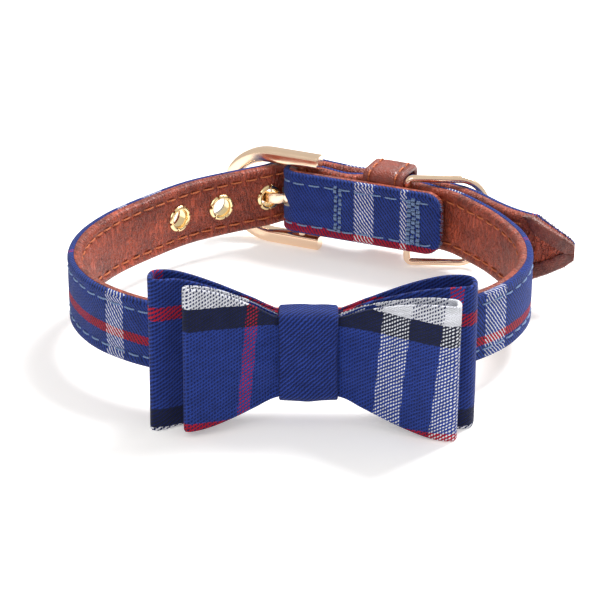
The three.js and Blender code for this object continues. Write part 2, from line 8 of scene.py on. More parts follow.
import bmesh
import bpy
import numpy as np
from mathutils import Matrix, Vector


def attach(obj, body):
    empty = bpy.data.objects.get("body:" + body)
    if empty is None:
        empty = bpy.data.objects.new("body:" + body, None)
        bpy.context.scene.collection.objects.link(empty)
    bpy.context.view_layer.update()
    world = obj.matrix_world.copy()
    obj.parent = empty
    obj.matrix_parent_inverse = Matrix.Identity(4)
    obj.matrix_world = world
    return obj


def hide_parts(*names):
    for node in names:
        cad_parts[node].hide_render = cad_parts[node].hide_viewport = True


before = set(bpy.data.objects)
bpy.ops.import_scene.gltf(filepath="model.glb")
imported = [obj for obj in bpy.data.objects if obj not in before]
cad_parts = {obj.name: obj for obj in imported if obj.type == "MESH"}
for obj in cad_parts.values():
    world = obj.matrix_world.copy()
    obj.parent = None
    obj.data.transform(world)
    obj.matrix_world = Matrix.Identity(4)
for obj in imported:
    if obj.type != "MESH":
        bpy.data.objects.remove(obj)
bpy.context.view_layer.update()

# Sizes that the frame has too

LOOP_TO_ROW = np.array([-5.514, 4.070, 0.0])
LOOP_WIDTH = 100.2
LOOP_DEPTH = 87.4
STRAP_WIDTH = 15.0
COVER_THICK = 1.3
STRAP_THICK = 3.0
SEAT_GAP = 0.3
BACK_RISE = 5.1
FRONT_RISE = 7.3
FOLD_LENGTH = 36.5
FOLD_ANGLE = math.radians(24.5)
FOLD_CORNER = 4.0
TIP_LENGTH = 8.5
TIP_BLUNT = 3.0
EYELET_PITCH = 12.7
EYELET_BORE = 4.0
EYELET_FLANGE = 6.4
EYELET_NUMBERS = (1, 2, 3)
TONGUE_EYELET = 3
BUCKLE_HEIGHT = 24.0
BUCKLE_ARM = 3.5
BUCKLE_DEPTH = 3.6
BUCKLE_ARC = 12.8
BUCKLE_STRAIGHT = 12.35
HEEL = 4.4
BAR_DIAMETER = 2.4
TONGUE_WIDTH = 2.6
TONGUE_THICK = 1.4
TONGUE_PLAY = 0.25
KEEPER_WIDTH = 10.1
KEEPER_THICK = 1.5
KEEPER_PLAY = 0.6
KEEPER_MIDDLE = 0.56
KEEPER_CORNER = 2.6
RING_WIRE = 1.7
RING_HEIGHT = 22.6
RING_STRAIGHT = 12.0
RING_ARC = 8.0
RING_START = 0.735
RING_ANGLE = math.radians(3)
RING_CORNER = 2.0
RING_DROP = 1.3
BOW_CLOTH = 1.0
BACK_BOW_REACH = (32.4, 33.8)
FRONT_BOW_REACH = (25.2, 30.0)
BOW_HEIGHT = 31.4
BACK_BOW_FOOT = (0.0, 0.0)
FRONT_BOW_FOOT = (1.2, 0.0)
KNOT_LEAN = 0.06
BACK_BOW_LEAN = (0.18, 0.04)
FRONT_BOW_LEAN = (0.12, -0.11)
KNOT_WIDTH = 12.0
KNOT_HEIGHT = 19.0
KNOT_FOOT = 5.8
KNOT_CORNER = 2.2
BOW_SHIFT = 1.4

# Finer sizes, only here

STATION = 0.5
STITCH_PITCH = 3.9
STITCH_LENGTH = 3.0
STITCH_INSET = 2.3
THREAD = 0.42
KEEPER_STITCH_ROWS = (-3.4, 3.2)
TIP_FRAYS = 240
FOLD_FRAYS = 170
EYELET_PETALS = 6
RIB_PITCH, PICK_PITCH, END_PITCH = 0.7, 0.58, 0.3  # of the twill


def plan(x, y):
    return np.array([x, y, 0.0])


UP = np.array([0.0, 0.0, 1.0])
FOLD_ALONG = plan(math.cos(FOLD_ANGLE), -math.sin(FOLD_ANGLE))
FOLD_OUT = plan(math.sin(FOLD_ANGLE), math.cos(FOLD_ANGLE))
BEND_RADIUS = BAR_DIAMETER / 2 + SEAT_GAP + STRAP_THICK
FOLD_START = plan(0, 0.41 * LOOP_DEPTH) - 0.018 * LOOP_DEPTH * FOLD_ALONG


def at_fold(along, out):
    return FOLD_START + along * FOLD_ALONG + out * FOLD_OUT


BAR = at_fold(0, BEND_RADIUS)


def round_bar(radius, degrees):
    turn = math.radians(degrees)
    return BAR + plan(radius * math.cos(turn), radius * math.sin(turn))


# Strap route

MAIN_NEAR_BAR = ((0.15, 2.55), (0.3, 2.2))
MAIN_PAST_FOLD = ((0.91, 2.36), (1, 2.2), (1.1, 1.74), (1.27, 0.45))
BILLET_NEAR_BAR = ((0.16, 3.95), (0.3, 3.76))
BILLET_PAST_KEEPER = (
    (0.8, 3.96), (0.91, 3.64), (1, 3.4), (1.1, 3.04), (1.25, 2.04),
    (1.38, 1.05), (1.52, 0.24), (1.66, -0.14), (1.77, -0.08), (1.88, 0.3),
)
LOOP_ROWS = (
    (0.895, 0.28), (0.985, -0.02), (0.985, -0.35), (0.885, -0.62), (0.73, -0.81),
    (0.54, -0.94), (0.34, -0.985), (0.02, -0.985), (-0.3, -0.99), (-0.5, -0.95),
    (-0.71, -0.83), (-0.89, -0.63), (-0.995, -0.35), (-0.99, -0.04), (-0.89, 0.25),
    (-0.73, 0.5), (-0.53, 0.745), (-0.275, 0.93),
)

KEEPER_INNER = STRAP_THICK + SEAT_GAP
MAIN_AT_KEEPER = KEEPER_INNER + KEEPER_THICK + SEAT_GAP + STRAP_THICK
BILLET_AT_KEEPER = MAIN_AT_KEEPER + SEAT_GAP + STRAP_THICK
KEEPER_AT = KEEPER_MIDDLE * FOLD_LENGTH
KEEPER_ENDS = (KEEPER_AT - KEEPER_WIDTH / 2, KEEPER_AT + KEEPER_WIDTH / 2)
RING_ALONG = RING_START * FOLD_LENGTH
MAIN_AT_RING = 2 * STRAP_THICK + 2 * SEAT_GAP + RING_WIRE
BILLET_RADIUS = BEND_RADIUS + SEAT_GAP + STRAP_THICK
TONGUE_HOLE = round_bar(BILLET_RADIUS + 0.75 * STRAP_THICK, 165)


def catmull(points, steps, closed=False):
    """A centripetal Catmull-Rom curve through the points."""
    points = [np.asarray(p, float) for p in points]
    if closed:
        padded = [points[-1], *points, points[0], points[1]]
    else:
        padded = [2 * points[0] - points[1], *points, 2 * points[-1] - points[-2]]
    made = []
    for i in range(len(padded) - 3):
        a, b, c, d = padded[i:i + 4]
        ab, bc, cd = (max(np.linalg.norm(q - p) ** 0.5, 1e-6) for p, q in ((a, b), (b, c), (c, d)))
        from_b = (b - a) / ab - (c - a) / (ab + bc) + (c - b) / bc
        from_c = (c - b) / bc - (d - b) / (bc + cd) + (d - c) / cd
        from_b, from_c = from_b * bc, from_c * bc
        for t in np.arange(steps) / steps:
            made.append(
                (2 * t**3 - 3 * t**2 + 1) * b + (t**3 - 2 * t**2 + t) * from_b
                + (3 * t**2 - 2 * t**3) * c + (t**3 - t**2) * from_c
            )
    if not closed:
        made.append(padded[-2])
    return np.array(made)


def evenly(points, step):
    """The same line with points about one step apart."""
    lengths = np.concatenate([[0], np.cumsum(np.linalg.norm(np.diff(points, axis=0), axis=1))])
    count = max(2, int(round(lengths[-1] / step)) + 1)
    at = np.linspace(0, lengths[-1], count)
    return np.stack([np.interp(at, lengths, points[:, k]) for k in range(3)], axis=1), at


def way_on(line):
    """The unit way on at each point of an open line."""
    run = np.gradient(line, axis=0)
    return run / np.maximum(np.linalg.norm(run, axis=1), 1e-9)[:, None]


def make_route():
    """The cloth's face in plan, from the fold's cut end round the bar and the loop to the tip."""
    bend = [round_bar(BEND_RADIUS, -90 - 24.5 - 180 * i / 24) for i in range(25)]
    by_fold = [at_fold(a * FOLD_LENGTH, o * STRAP_THICK) for a, o in MAIN_NEAR_BAR]
    after = [bend[-1], *by_fold]
    after.append(at_fold(KEEPER_ENDS[0], MAIN_AT_KEEPER + SEAT_GAP / 3))
    after.append(at_fold(KEEPER_ENDS[1], MAIN_AT_KEEPER + SEAT_GAP))
    after.append(at_fold(RING_ALONG + RING_WIRE, MAIN_AT_RING))
    after += [at_fold(a * FOLD_LENGTH, o * STRAP_THICK) for a, o in MAIN_PAST_FOLD]
    after += [plan(x * LOOP_WIDTH / 2, y * LOOP_DEPTH / 2) for x, y in LOOP_ROWS]
    after.append(TONGUE_HOLE)
    after += [round_bar(BILLET_RADIUS + SEAT_GAP, turn) for turn in (138, 103, 72)]
    after += [at_fold(a * FOLD_LENGTH, o * STRAP_THICK) for a, o in BILLET_NEAR_BAR]
    after.append(at_fold(KEEPER_ENDS[0], BILLET_AT_KEEPER + 2 * SEAT_GAP / 3))
    after.append(at_fold(KEEPER_ENDS[1], BILLET_AT_KEEPER + SEAT_GAP / 2))
    after += [at_fold(a * FOLD_LENGTH, o * STRAP_THICK) for a, o in BILLET_PAST_KEEPER]
    line = np.concatenate([[at_fold(FOLD_LENGTH, 0)], bend[:-1], catmull(after, 12)])
    return evenly(line, STATION)


ROUTE, STATIONS = make_route()
ROUTE_LENGTH = STATIONS[-1]
RUN = way_on(ROUTE)
OUTWARD = np.stack([-RUN[:, 1], RUN[:, 0], np.zeros(len(RUN))], axis=1)


def mid_height(y):
    lower = BACK_RISE + (FRONT_RISE - BACK_RISE) / LOOP_DEPTH * (LOOP_DEPTH / 2 - y)
    return lower + STRAP_WIDTH / 2


def on_route(length):
    """Point in plan, the way on and the way out of the cloth, for one length or several."""
    def pick(values):
        return np.stack([np.interp(length, STATIONS, values[:, k]) for k in range(3)], axis=-1)
    return pick(ROUTE), pick(RUN), pick(OUTWARD)


def on_strap(length, up, depth):
    """Points on the strap: by length, height above its middle, and depth behind the cloth."""
    length, up, depth = np.broadcast_arrays(
        np.asarray(length, float), np.asarray(up, float), np.asarray(depth, float))
    point, _, out = on_route(length)
    made = point - depth[..., None] * out
    made[..., 2] = mid_height(made[..., 1]) + up
    return made


def half_width(length):
    """The strap narrows to rounded corners at its fold's end and to a blunt point at its tip."""
    length = np.asarray(length, float)
    half = STRAP_WIDTH / 2
    turn = np.clip(1 - length / FOLD_CORNER, 0, 1)
    folded = half - FOLD_CORNER * (1 - np.sqrt(np.clip(1 - turn**2, 0, 1)))
    left = np.clip((ROUTE_LENGTH - length) / TIP_LENGTH, 0, 1)
    pointed = TIP_BLUNT / 2 + (half - TIP_BLUNT / 2) * left**0.85
    return np.minimum(folded, pointed)


# Mesh building


class Pieces:
    """Vertices, faces and cloth coordinates gathered for one object."""

    def __init__(self):
        self.points, self.faces, self.uvs, self.count = [], [], [], 0

    def grid(self, points, uv=None, wrap_rows=False, wrap_columns=False, flip=False):
        """points[row, column]. uv has one more row or column than a wrapped grid."""
        rows, columns = points.shape[:2]
        if uv is None:
            uv = np.zeros((rows + 1, columns + 1, 2))
        base = self.count
        self.points.append(points.reshape(-1, 3))
        self.count += rows * columns
        for i in range(rows if wrap_rows else rows - 1):
            for j in range(columns if wrap_columns else columns - 1):
                corners = ((i, j), (i + 1, j), (i + 1, j + 1), (i, j + 1))
                if flip:
                    corners = corners[::-1]
                self.faces.append([base + (a % rows) * columns + b % columns for a, b in corners])
                self.uvs.append([tuple(uv[a, b]) for a, b in corners])

    def cap(self, points, uv=None, flip=False):
        """One flat face."""
        base = self.count
        self.points.append(np.asarray(points, float))
        self.count += len(points)
        order = list(range(len(points)))
        if flip:
            order.reverse()
        self.faces.append([base + k for k in order])
        self.uvs.append([(0, 0) if uv is None else tuple(uv[k]) for k in order])

    def skin(self, rings, uv=None, flip=False):
        """A closed skin over a row of rings, with flat ends."""
        self.grid(rings, uv, wrap_columns=True, flip=flip)
        self.cap(rings[0], flip=flip)
        self.cap(rings[-1], flip=not flip)

    def make(self, name, material, smooth=40, weld=0.0):
        """The object. smooth is in degrees, and weld in millimetres."""
        mesh = bpy.data.meshes.new(name)
        points = (np.concatenate(self.points) + LOOP_TO_ROW) / 1000
        mesh.from_pydata(points.tolist(), [], self.faces)
        layer = mesh.uv_layers.new(name="cloth")
        flat = [value for face in self.uvs for corner in face for value in corner]
        layer.data.foreach_set("uv", flat)
        mesh.materials.append(material)
        piece = bpy.data.objects.new(name, mesh)
        bpy.context.scene.collection.objects.link(piece)
        if weld:
            with_modifier(piece, "WELD", merge_threshold=weld / 1000)
        face_outwards(piece)
        if smooth:
            piece.data.shade_smooth()
            piece.data.set_sharp_from_angle(angle=math.radians(smooth))
        return piece


def face_outwards(piece):
    """Turns all faces outwards, by the sign of the volume too."""
    shell = bmesh.new()
    shell.from_mesh(piece.data)
    bmesh.ops.recalc_face_normals(shell, faces=shell.faces)
    if shell.calc_volume(signed=True) < 0:
        bmesh.ops.reverse_faces(shell, faces=shell.faces)
    shell.to_mesh(piece.data)
    shell.free()


def with_modifier(piece, kind, **settings):
    """Adds a modifier and applies it to the mesh at once."""
    modifier = piece.modifiers.new(kind, kind)
    for key, value in settings.items():
        setattr(modifier, key, value)
    graph = bpy.context.evaluated_depsgraph_get()
    made = bpy.data.meshes.new_from_object(piece.evaluated_get(graph))
    old = piece.data
    piece.modifiers.clear()
    piece.data = made
    bpy.data.meshes.remove(old)


def cut(piece, cutters):
    """Takes the cutters out of the piece."""
    for cutter in cutters:
        with_modifier(piece, "BOOLEAN", object=cutter, operation="DIFFERENCE", solver="MANIFOLD")


def prism(outline, low, high, axes, origin):
    """A cutter with a flat outline, between two heights along the third axis."""
    made = Pieces()
    made.skin(np.array([np.column_stack([outline, np.full(len(outline), height)]) @ axes + origin
                        for height in (low, high)]))
    return made.make("cutter", cutter_material, smooth=0, weld=0.001)


def circle(radius, sides):
    """Points of a flat circle."""
    turn = np.arange(sides) * 2 * math.pi / sides
    return np.column_stack([radius * np.cos(turn), radius * np.sin(turn)])


def sweep(made, line, across, up, section, closed=False):
    """Carries a flat section along a line: section x goes with across, section y with up."""
    line, section = np.asarray(line, float), np.asarray(section, float)
    across, up = (np.broadcast_to(v, line.shape) for v in (across, up))
    points = (line[:, None] + section[None, :, :1] * across[:, None]
              + section[None, :, 1:2] * up[:, None])
    steps = np.linalg.norm(np.diff(np.concatenate([line, line[:1]]), axis=0), axis=1)
    along = np.concatenate([[0], np.cumsum(steps)])
    sides = np.linalg.norm(np.diff(np.concatenate([section, section[:1]]), axis=0), axis=1)
    round_it = np.concatenate([[0], np.cumsum(sides)])
    uv = np.stack(np.meshgrid(along, round_it, indexing="ij"), axis=-1)
    made.grid(points, uv, wrap_rows=closed, wrap_columns=True, flip=True)
    if not closed:
        made.cap(points[0], uv[0, :-1], flip=True)
        made.cap(points[-1], uv[-2, :-1])


def rounded_section(width, height, corner, steps=5):
    """A rectangle with round corners, counter-clockwise from its lower right corner."""
    made = []
    for x, y, start in ((1, -1, -90), (1, 1, 0), (-1, 1, 90), (-1, -1, 180)):
        centre = np.array([x * (width / 2 - corner), y * (height / 2 - corner)])
        for turn in np.radians(start + np.linspace(0, 90, steps)):
            made.append(centre + corner * np.array([math.cos(turn), math.sin(turn)]))
    return np.array(made)


HALF_ROUND = np.radians(np.linspace(0, 180, 9)[1:-1])


def lay(flat, first, second):
    """Flat points or ways, laid out along two ways in space."""
    return flat[..., :1] * first + flat[..., 1:2] * second


def ring_normals(ring):
    """Unit ways on and outwards at each point of a closed flat ring."""
    run = np.roll(ring, -1, axis=0) - np.roll(ring, 1, axis=0)
    run /= np.linalg.norm(run, axis=1)[:, None]
    return run, np.stack([run[:, 1], -run[:, 0]], axis=1)


def even_ring(width, height, corner, step):
    """A rounded rectangle in even steps, and the length round it at each point."""
    ring = rounded_section(width, height, corner, 8)
    ring = np.concatenate([ring, ring[:1]])
    dense, lengths = evenly(np.column_stack([ring, np.zeros(len(ring))]), step)
    return dense[:-1, :2], lengths


def band_rows(half, edge, thick, steps, edge_share):
    """A band's section: rows of (place across, height over the face, share of face)."""
    rows = [(t * (half - edge), 0.0, 1.0) for t in np.linspace(-1, 1, steps)]
    for turn in HALF_ROUND:
        rows.append((half - edge + edge * math.sin(turn), thick / 2 * (math.cos(turn) - 1), edge_share))
    rows += [(t * (half - edge), -thick, 0.0) for t in np.linspace(1, -1, 8)]
    for turn in HALF_ROUND[::-1]:
        rows.append((-half + edge - edge * math.sin(turn), thick / 2 * (math.cos(turn) - 1), edge_share))
    return np.array(rows)


def smooth_step(value):
    value = np.clip(value, 0, 1)
    return value * value * (3 - 2 * value)


def waves(at, seed, scale, count=9):
    """A smooth random line between about -1 and 1, the same each run."""
    draw = np.random.RandomState(seed)
    at = np.asarray(at, float)
    total = np.zeros_like(at)
    for _ in range(count):
        total += np.sin(at * 2 * math.pi / (scale * draw.uniform(0.6, 1.9)) + draw.uniform(0, 6.28))
    return total / math.sqrt(count) * 0.8


# Materials


def linear(red, green, blue):
    """Colour numbers 0 to 255 as the shader's linear values."""
    def one(value):
        value /= 255
        return value / 12.92 if value <= 0.04045 else ((value + 0.055) / 1.055) ** 2.4
    return (one(red), one(green), one(blue), 1.0)


COLOURS = {
    "blue": linear(36, 60, 140),
    "deep": linear(16, 27, 78),
    "navy": linear(20, 26, 50),
    "white": linear(212, 214, 222),
    "red": linear(164, 20, 48),
}


class Shader:
    """A material whose nodes are added by short calls."""

    def __init__(self, name):
        self.material = bpy.data.materials.new(name)
        self.material.use_nodes = True
        self.nodes = self.material.node_tree.nodes
        self.links = self.material.node_tree.links
        self.nodes.clear()
        self.output = self.nodes.new("ShaderNodeOutputMaterial")
        self.surface = self.nodes.new("ShaderNodeBsdfPrincipled")
        self.join(self.surface.outputs[0], self.output.inputs["Surface"])

    def join(self, value, socket):
        if isinstance(value, bpy.types.NodeSocket):
            self.links.new(value, socket)
        elif value is not None:
            socket.default_value = value

    def add(self, kind, settings=None, **inputs):
        node = self.nodes.new("ShaderNode" + kind)
        for key, value in (settings or {}).items():
            setattr(node, key, value)
        for key, value in inputs.items():
            self.join(value, node.inputs[key.replace("_", " ")])
        return node

    def math(self, operation, *values):
        node = self.nodes.new("ShaderNodeMath")
        node.operation = operation
        for socket, value in zip(node.inputs, values):
            self.join(value, socket)
        return node.outputs[0]

    def map(self, value, low, high, to_low, to_high, kind="SMOOTHSTEP"):
        node = self.nodes.new("ShaderNodeMapRange")
        node.interpolation_type = kind
        for socket, number in zip(node.inputs, (value, low, high, to_low, to_high)):
            self.join(number, socket)
        return node.outputs[0]

    def mix(self, share, first, second, blend="MIX"):
        node = self.nodes.new("ShaderNodeMix")
        node.data_type = "RGBA"
        node.blend_type = blend
        self.join(share, node.inputs[0])
        self.join(first, node.inputs[6])
        self.join(second, node.inputs[7])
        return node.outputs[2]

    def on_cloth(self):
        return self.add("UVMap", {"uv_map": "cloth"}).outputs[0]

    def shaded(self, colour, shade):
        tint = self.add("CombineXYZ", X=shade, Y=shade, Z=shade).outputs[0]
        return self.mix(1.0, colour, tint, "MULTIPLY")

    def noise(self, scale, detail=2.0, vector=None, roughness=0.5):
        node = self.add("TexNoise", Scale=scale, Detail=detail, Roughness=roughness)
        self.join(vector, node.inputs["Vector"])
        return node.outputs["Fac"]

    def bump(self, height, strength, distance, normal=None):
        node = self.add("Bump", Height=height, Strength=strength, Distance=distance)
        self.join(normal, node.inputs["Normal"])
        return node.outputs[0]

    def set(self, **inputs):
        for key, value in inputs.items():
            self.join(value, self.surface.inputs[key.replace("_", " ")])


def band_ramp(shader, value, bands, ground, span):
    """Threads laid side by side: ground colour, with bands of (start, width, colour)."""
    bands = sorted(bands)
    if len(bands) > 14:
        half = len(bands) // 2
        late = shader.math("GREATER_THAN", value, bands[half][0] - 0.01)
        return shader.mix(late, band_ramp(shader, value, bands[:half], ground, span),
                          band_ramp(shader, value, bands[half:], ground, span))
    ramp = shader.nodes.new("ShaderNodeValToRGB")
    ramp.color_ramp.interpolation = "CONSTANT"
    stops = [(0.0, ground)]
    for start, width, colour in bands:
        stops.append((start / span, colour))
        stops.append(((start + width) / span, ground))
    kept = []
    for place, colour in stops:
        if kept and abs(kept[-1][0] - place) < 1e-5:
            kept[-1] = (place, colour)
        else:
            kept.append((place, colour))
    elements = ramp.color_ramp.elements
    elements[0].position, elements[0].color = 0.0, COLOURS[kept[0][1]]
    elements.remove(elements[1])
    for place, colour in kept[1:]:
        elements.new(min(place, 1.0)).color = COLOURS[colour]
    shader.join(shader.math("DIVIDE", value, span), ramp.inputs[0])
    return ramp.outputs[0]


def plaid(name, down_bands, cross_bands, down_span, cross_span, twill, skew=0.0, drift=0.0,
          dots=0.45, hidden=0.08):
    """Twill plaid. Coordinates are millimetres: x along the piece, y up it.
    down_bands are threads that run along x and lie side by side in y; cross_bands the others.
    twill is the rise of its ribs for each millimetre along. dots breaks the cross threads up,
    and hidden is how far they lie under the others."""
    shader = Shader(name)
    where = shader.on_cloth()
    parts = shader.add("SeparateXYZ", Vector=where).outputs
    wobble = shader.add("TexNoise", Scale=0.5, Detail=2.0)
    shader.join(where, wobble.inputs["Vector"])
    shift = shader.add("SeparateXYZ", Vector=wobble.outputs["Color"]).outputs
    x = shader.math("MULTIPLY_ADD", shader.math("SUBTRACT", shift[0], 0.5), 0.5, parts[0])
    y = shader.math("MULTIPLY_ADD", shader.math("SUBTRACT", shift[1], 0.5), 0.5, parts[1])
    cross_at = shader.math("MULTIPLY_ADD", y, skew, x)
    down_at = shader.math("MULTIPLY_ADD", x, drift, y)
    if drift:
        down_at = shader.math("ADD", down_at, DOWN_SHIFT)
    down = band_ramp(shader, down_at, down_bands, "blue", down_span)
    cross = band_ramp(shader, cross_at, cross_bands, "deep", cross_span)
    # Ribs: the phase across them, one turn each rib
    steep = math.atan(twill)
    phase = shader.math("ADD", shader.math("MULTIPLY", x, -math.sin(steep) * 2 * math.pi / RIB_PITCH),
                        shader.math("MULTIPLY", y, math.cos(steep) * 2 * math.pi / RIB_PITCH))
    wave = shader.math("SINE", phase)
    # Threads: fine steps along each rib, deeper where the cross threads come up as dots
    pick = shader.math("SINE", shader.math("MULTIPLY", x, 2 * math.pi / PICK_PITCH))
    end = shader.math("SINE", shader.math("MULTIPLY", y, 2 * math.pi / END_PITCH))
    grain = shader.math("MULTIPLY", pick, end)
    level = shader.math("MULTIPLY_ADD", pick, dots, shader.math("SUBTRACT", wave, hidden))
    over = shader.map(level, -0.3, 0.35, 0.0, 1.0)
    colour = shader.mix(over, down, cross)
    fuzz = shader.noise(6.0, 3.0, where)
    uneven = shader.noise(0.35, 3.0, where)
    shade = shader.math("MULTIPLY", shader.map(fuzz, 0.25, 0.75, 0.66, 1.28),
                        shader.map(uneven, 0.3, 0.7, 0.88, 1.12))
    # painted shade: the grooves between the twill's ribs are darkened in the colour; fuzz and uneven are
    # the cloth's own uneven tone
    groove = shader.map(shader.math("ABSOLUTE", wave), 0.0, 0.5, 0.5, 1.0)
    shade = shader.math("MULTIPLY", shade, groove)
    colour = shader.shaded(colour, shade)
    height = shader.math("ADD", shader.math("MULTIPLY", shader.math("ABSOLUTE", wave), 0.6),
                         shader.math("MULTIPLY", grain, 0.3))
    height = shader.math("ADD", height, shader.math("MULTIPLY", fuzz, 0.5))
    shader.set(Base_Color=colour, Roughness=0.85, Normal=shader.bump(height, 0.8, 0.0002))
    shader.set(Sheen_Weight=0.06, Sheen_Roughness=0.4, Specular_IOR_Level=0.2)
    return shader.material


def leather(name, light, dark, grain=1.0, wrinkled=False):
    """Pebbled leather with worn, uneven dye and painted shade in the crevices between its pebbles.
    Wrinkled leather has fine creases across it, with painted shade along them.
    """
    shader = Shader(name)
    where = shader.add("TexCoord").outputs["Object"]
    cells = shader.add("TexVoronoi", {"feature": "DISTANCE_TO_EDGE"}, Scale=1700.0 / grain)
    shader.join(where, cells.inputs["Vector"])
    pebble = shader.map(cells.outputs["Distance"], 0.0, 0.28, 0.0, 1.0)
    dye = shader.noise(140.0, 4.0, where)
    blotch = shader.noise(900.0, 3.0, where)
    share = shader.map(shader.math("MULTIPLY_ADD", blotch, 0.6, dye), 0.55, 1.05, 0.0, 1.0)
    colour = shader.mix(share, dark, light)
    # painted shade: the crevices between the pebbles are darkened in the colour
    colour = shader.mix(shader.map(pebble, 0.0, 0.6, 0.35, 0.0), colour, dark)
    height = shader.math("ADD", pebble, shader.math("MULTIPLY", blotch, 0.8))
    rough = shader.map(dye, 0.3, 0.7, 0.36, 0.5)
    normal = None
    if wrinkled:
        on_piece = shader.on_cloth()
        stretch = shader.add("VectorMath", {"operation": "MULTIPLY"})
        shader.join(on_piece, stretch.inputs[0])
        stretch.inputs[1].default_value = (1.0, 0.3, 1.0)
        crease = shader.noise(0.75, 3.0, stretch.outputs[0], 0.6)
        ridge = shader.math("ABSOLUTE", shader.math("SUBTRACT", crease, 0.5))
        ridge = shader.map(ridge, 0.0, 0.11, 0.0, 1.0)
        normal = shader.bump(ridge, 0.8, 0.0007)
        # painted shade: the creases are darkened in the colour
        colour = shader.mix(shader.map(ridge, 0.0, 0.7, 0.35, 0.0), colour, dark)
    shader.set(Base_Color=colour, Roughness=rough,
               Normal=shader.bump(height, 0.6, 0.00014, normal))
    shader.set(Specular_IOR_Level=0.5, Coat_Weight=0.1, Coat_Roughness=0.3)
    return shader.material


def metal(name, colour, rough=0.16):
    """Polished plated metal with faint polishing marks."""
    shader = Shader(name)
    where = shader.add("TexCoord").outputs["Object"]
    marks = shader.noise(260.0, 4.0, where)
    shader.set(Base_Color=colour, Metallic=1.0,
               Roughness=shader.map(marks, 0.3, 0.75, rough * 0.75, rough * 1.5))
    shader.set(Normal=shader.bump(shader.noise(420.0, 2.0, where), 0.08, 0.0002))
    return shader.material


def thread(name, colour):
    """Sewing thread, with its twist and painted shade between its plies."""
    shader = Shader(name)
    where = shader.on_cloth()
    parts = shader.add("SeparateXYZ", Vector=where).outputs
    turn = shader.math("MULTIPLY_ADD", parts[1], 5.0, shader.math("MULTIPLY", parts[0], 14.0))
    ply = shader.math("SINE", turn)
    # painted shade: the colour is darkened along the twist's grooves
    shade = shader.map(ply, -1.0, 1.0, 0.65, 1.1)
    shader.set(Base_Color=shader.shaded(colour, shade), Roughness=0.6,
               Normal=shader.bump(ply, 0.5, 0.00008))
    return shader.material


def plain(name, colour, rough):
    """One even colour."""
    shader = Shader(name)
    shader.set(Base_Color=colour, Roughness=rough)
    return shader.material


cutter_material = plain("plain", (0.5, 0.5, 0.5, 1), 0.6)
LEATHER_LIGHT = linear(186, 78, 46)
LEATHER_DARK = linear(118, 42, 24)
GOLD = linear(250, 220, 190)
leather_strap = leather("leather", LEATHER_LIGHT, LEATHER_DARK, wrinkled=True)
leather_keeper = leather("keeper_leather", linear(148, 60, 38), linear(100, 38, 24))
# painted shade: the turned tip uses a darker copy of the strap's leather, standing in for the shade at
# the tip
tip_leather_painted_shade = leather("turned_leather_shaded", linear(128, 58, 42), linear(78, 32, 24))
fray_material = plain("fray", linear(74, 38, 32), 0.9)
gold = metal("pale_gold", GOLD, 0.15)
brass = metal("eyelet_gold", linear(248, 222, 168), 0.2)
blue_thread = thread("blue_thread", linear(112, 138, 180))
tan_thread = thread("tan_thread", linear(196, 104, 58))
# painted shade: a dark material for the needle holes, standing in for the shade inside them
hole_shade_material = plain("needle_hole_shade", linear(14, 16, 30), 0.9)

# Strap

DOWN_SHIFT = 11.0  # keeps the drifting coordinate above nought
FACE_STEPS, BACK_STEPS, CORNER_STEPS = 30, 8, 4  # round one layer's section


def layer_section(near, far, visible_near, corner, back_corner):
    """Rows of (share of the half width, distance in from the edge, depth, share of face)."""
    face_depth, back_depth = (near, far) if visible_near else (far, near)
    inward = 1 if visible_near else -1
    quarter = np.linspace(0, math.pi / 2, CORNER_STEPS + 1)

    def face_edge(side, turn):
        rounded = face_depth + inward * corner * (1 - math.cos(turn))
        return side, corner * (1 - math.sin(turn)), rounded, math.cos(turn)

    def back_edge(side, turn):
        rounded = back_depth - inward * back_corner * (1 - math.sin(turn))
        return side, back_corner * (1 - math.cos(turn)), rounded, 0.0

    rows = [(t, corner, face_depth, 1.0) for t in np.linspace(-1, 1, FACE_STEPS + 1)]
    rows += [face_edge(1, turn) for turn in quarter[1:]]
    rows += [back_edge(1, turn) for turn in quarter]
    rows += [(t, back_corner, back_depth, 0.0) for t in np.linspace(1, -1, BACK_STEPS + 1)[1:]]
    rows += [back_edge(-1, turn) for turn in quarter[::-1][1:]]
    rows += [face_edge(-1, turn) for turn in quarter[::-1][:-1]]
    return np.array(rows)


def quilted(length, inset, groove, bead, puff):
    """How far a sewn face stands out, by length and distance in from the edge."""
    line = np.exp(-((inset - STITCH_INSET) / 0.5) ** 2)
    pull = 0.75 + 0.25 * np.cos(length * 2 * math.pi / STITCH_PITCH)
    roll = np.exp(-((inset - 1.0) / 0.85) ** 2)
    middle = smooth_step((inset - STITCH_INSET) / 3.0)
    return -groove * line * pull + bead * roll + puff * middle


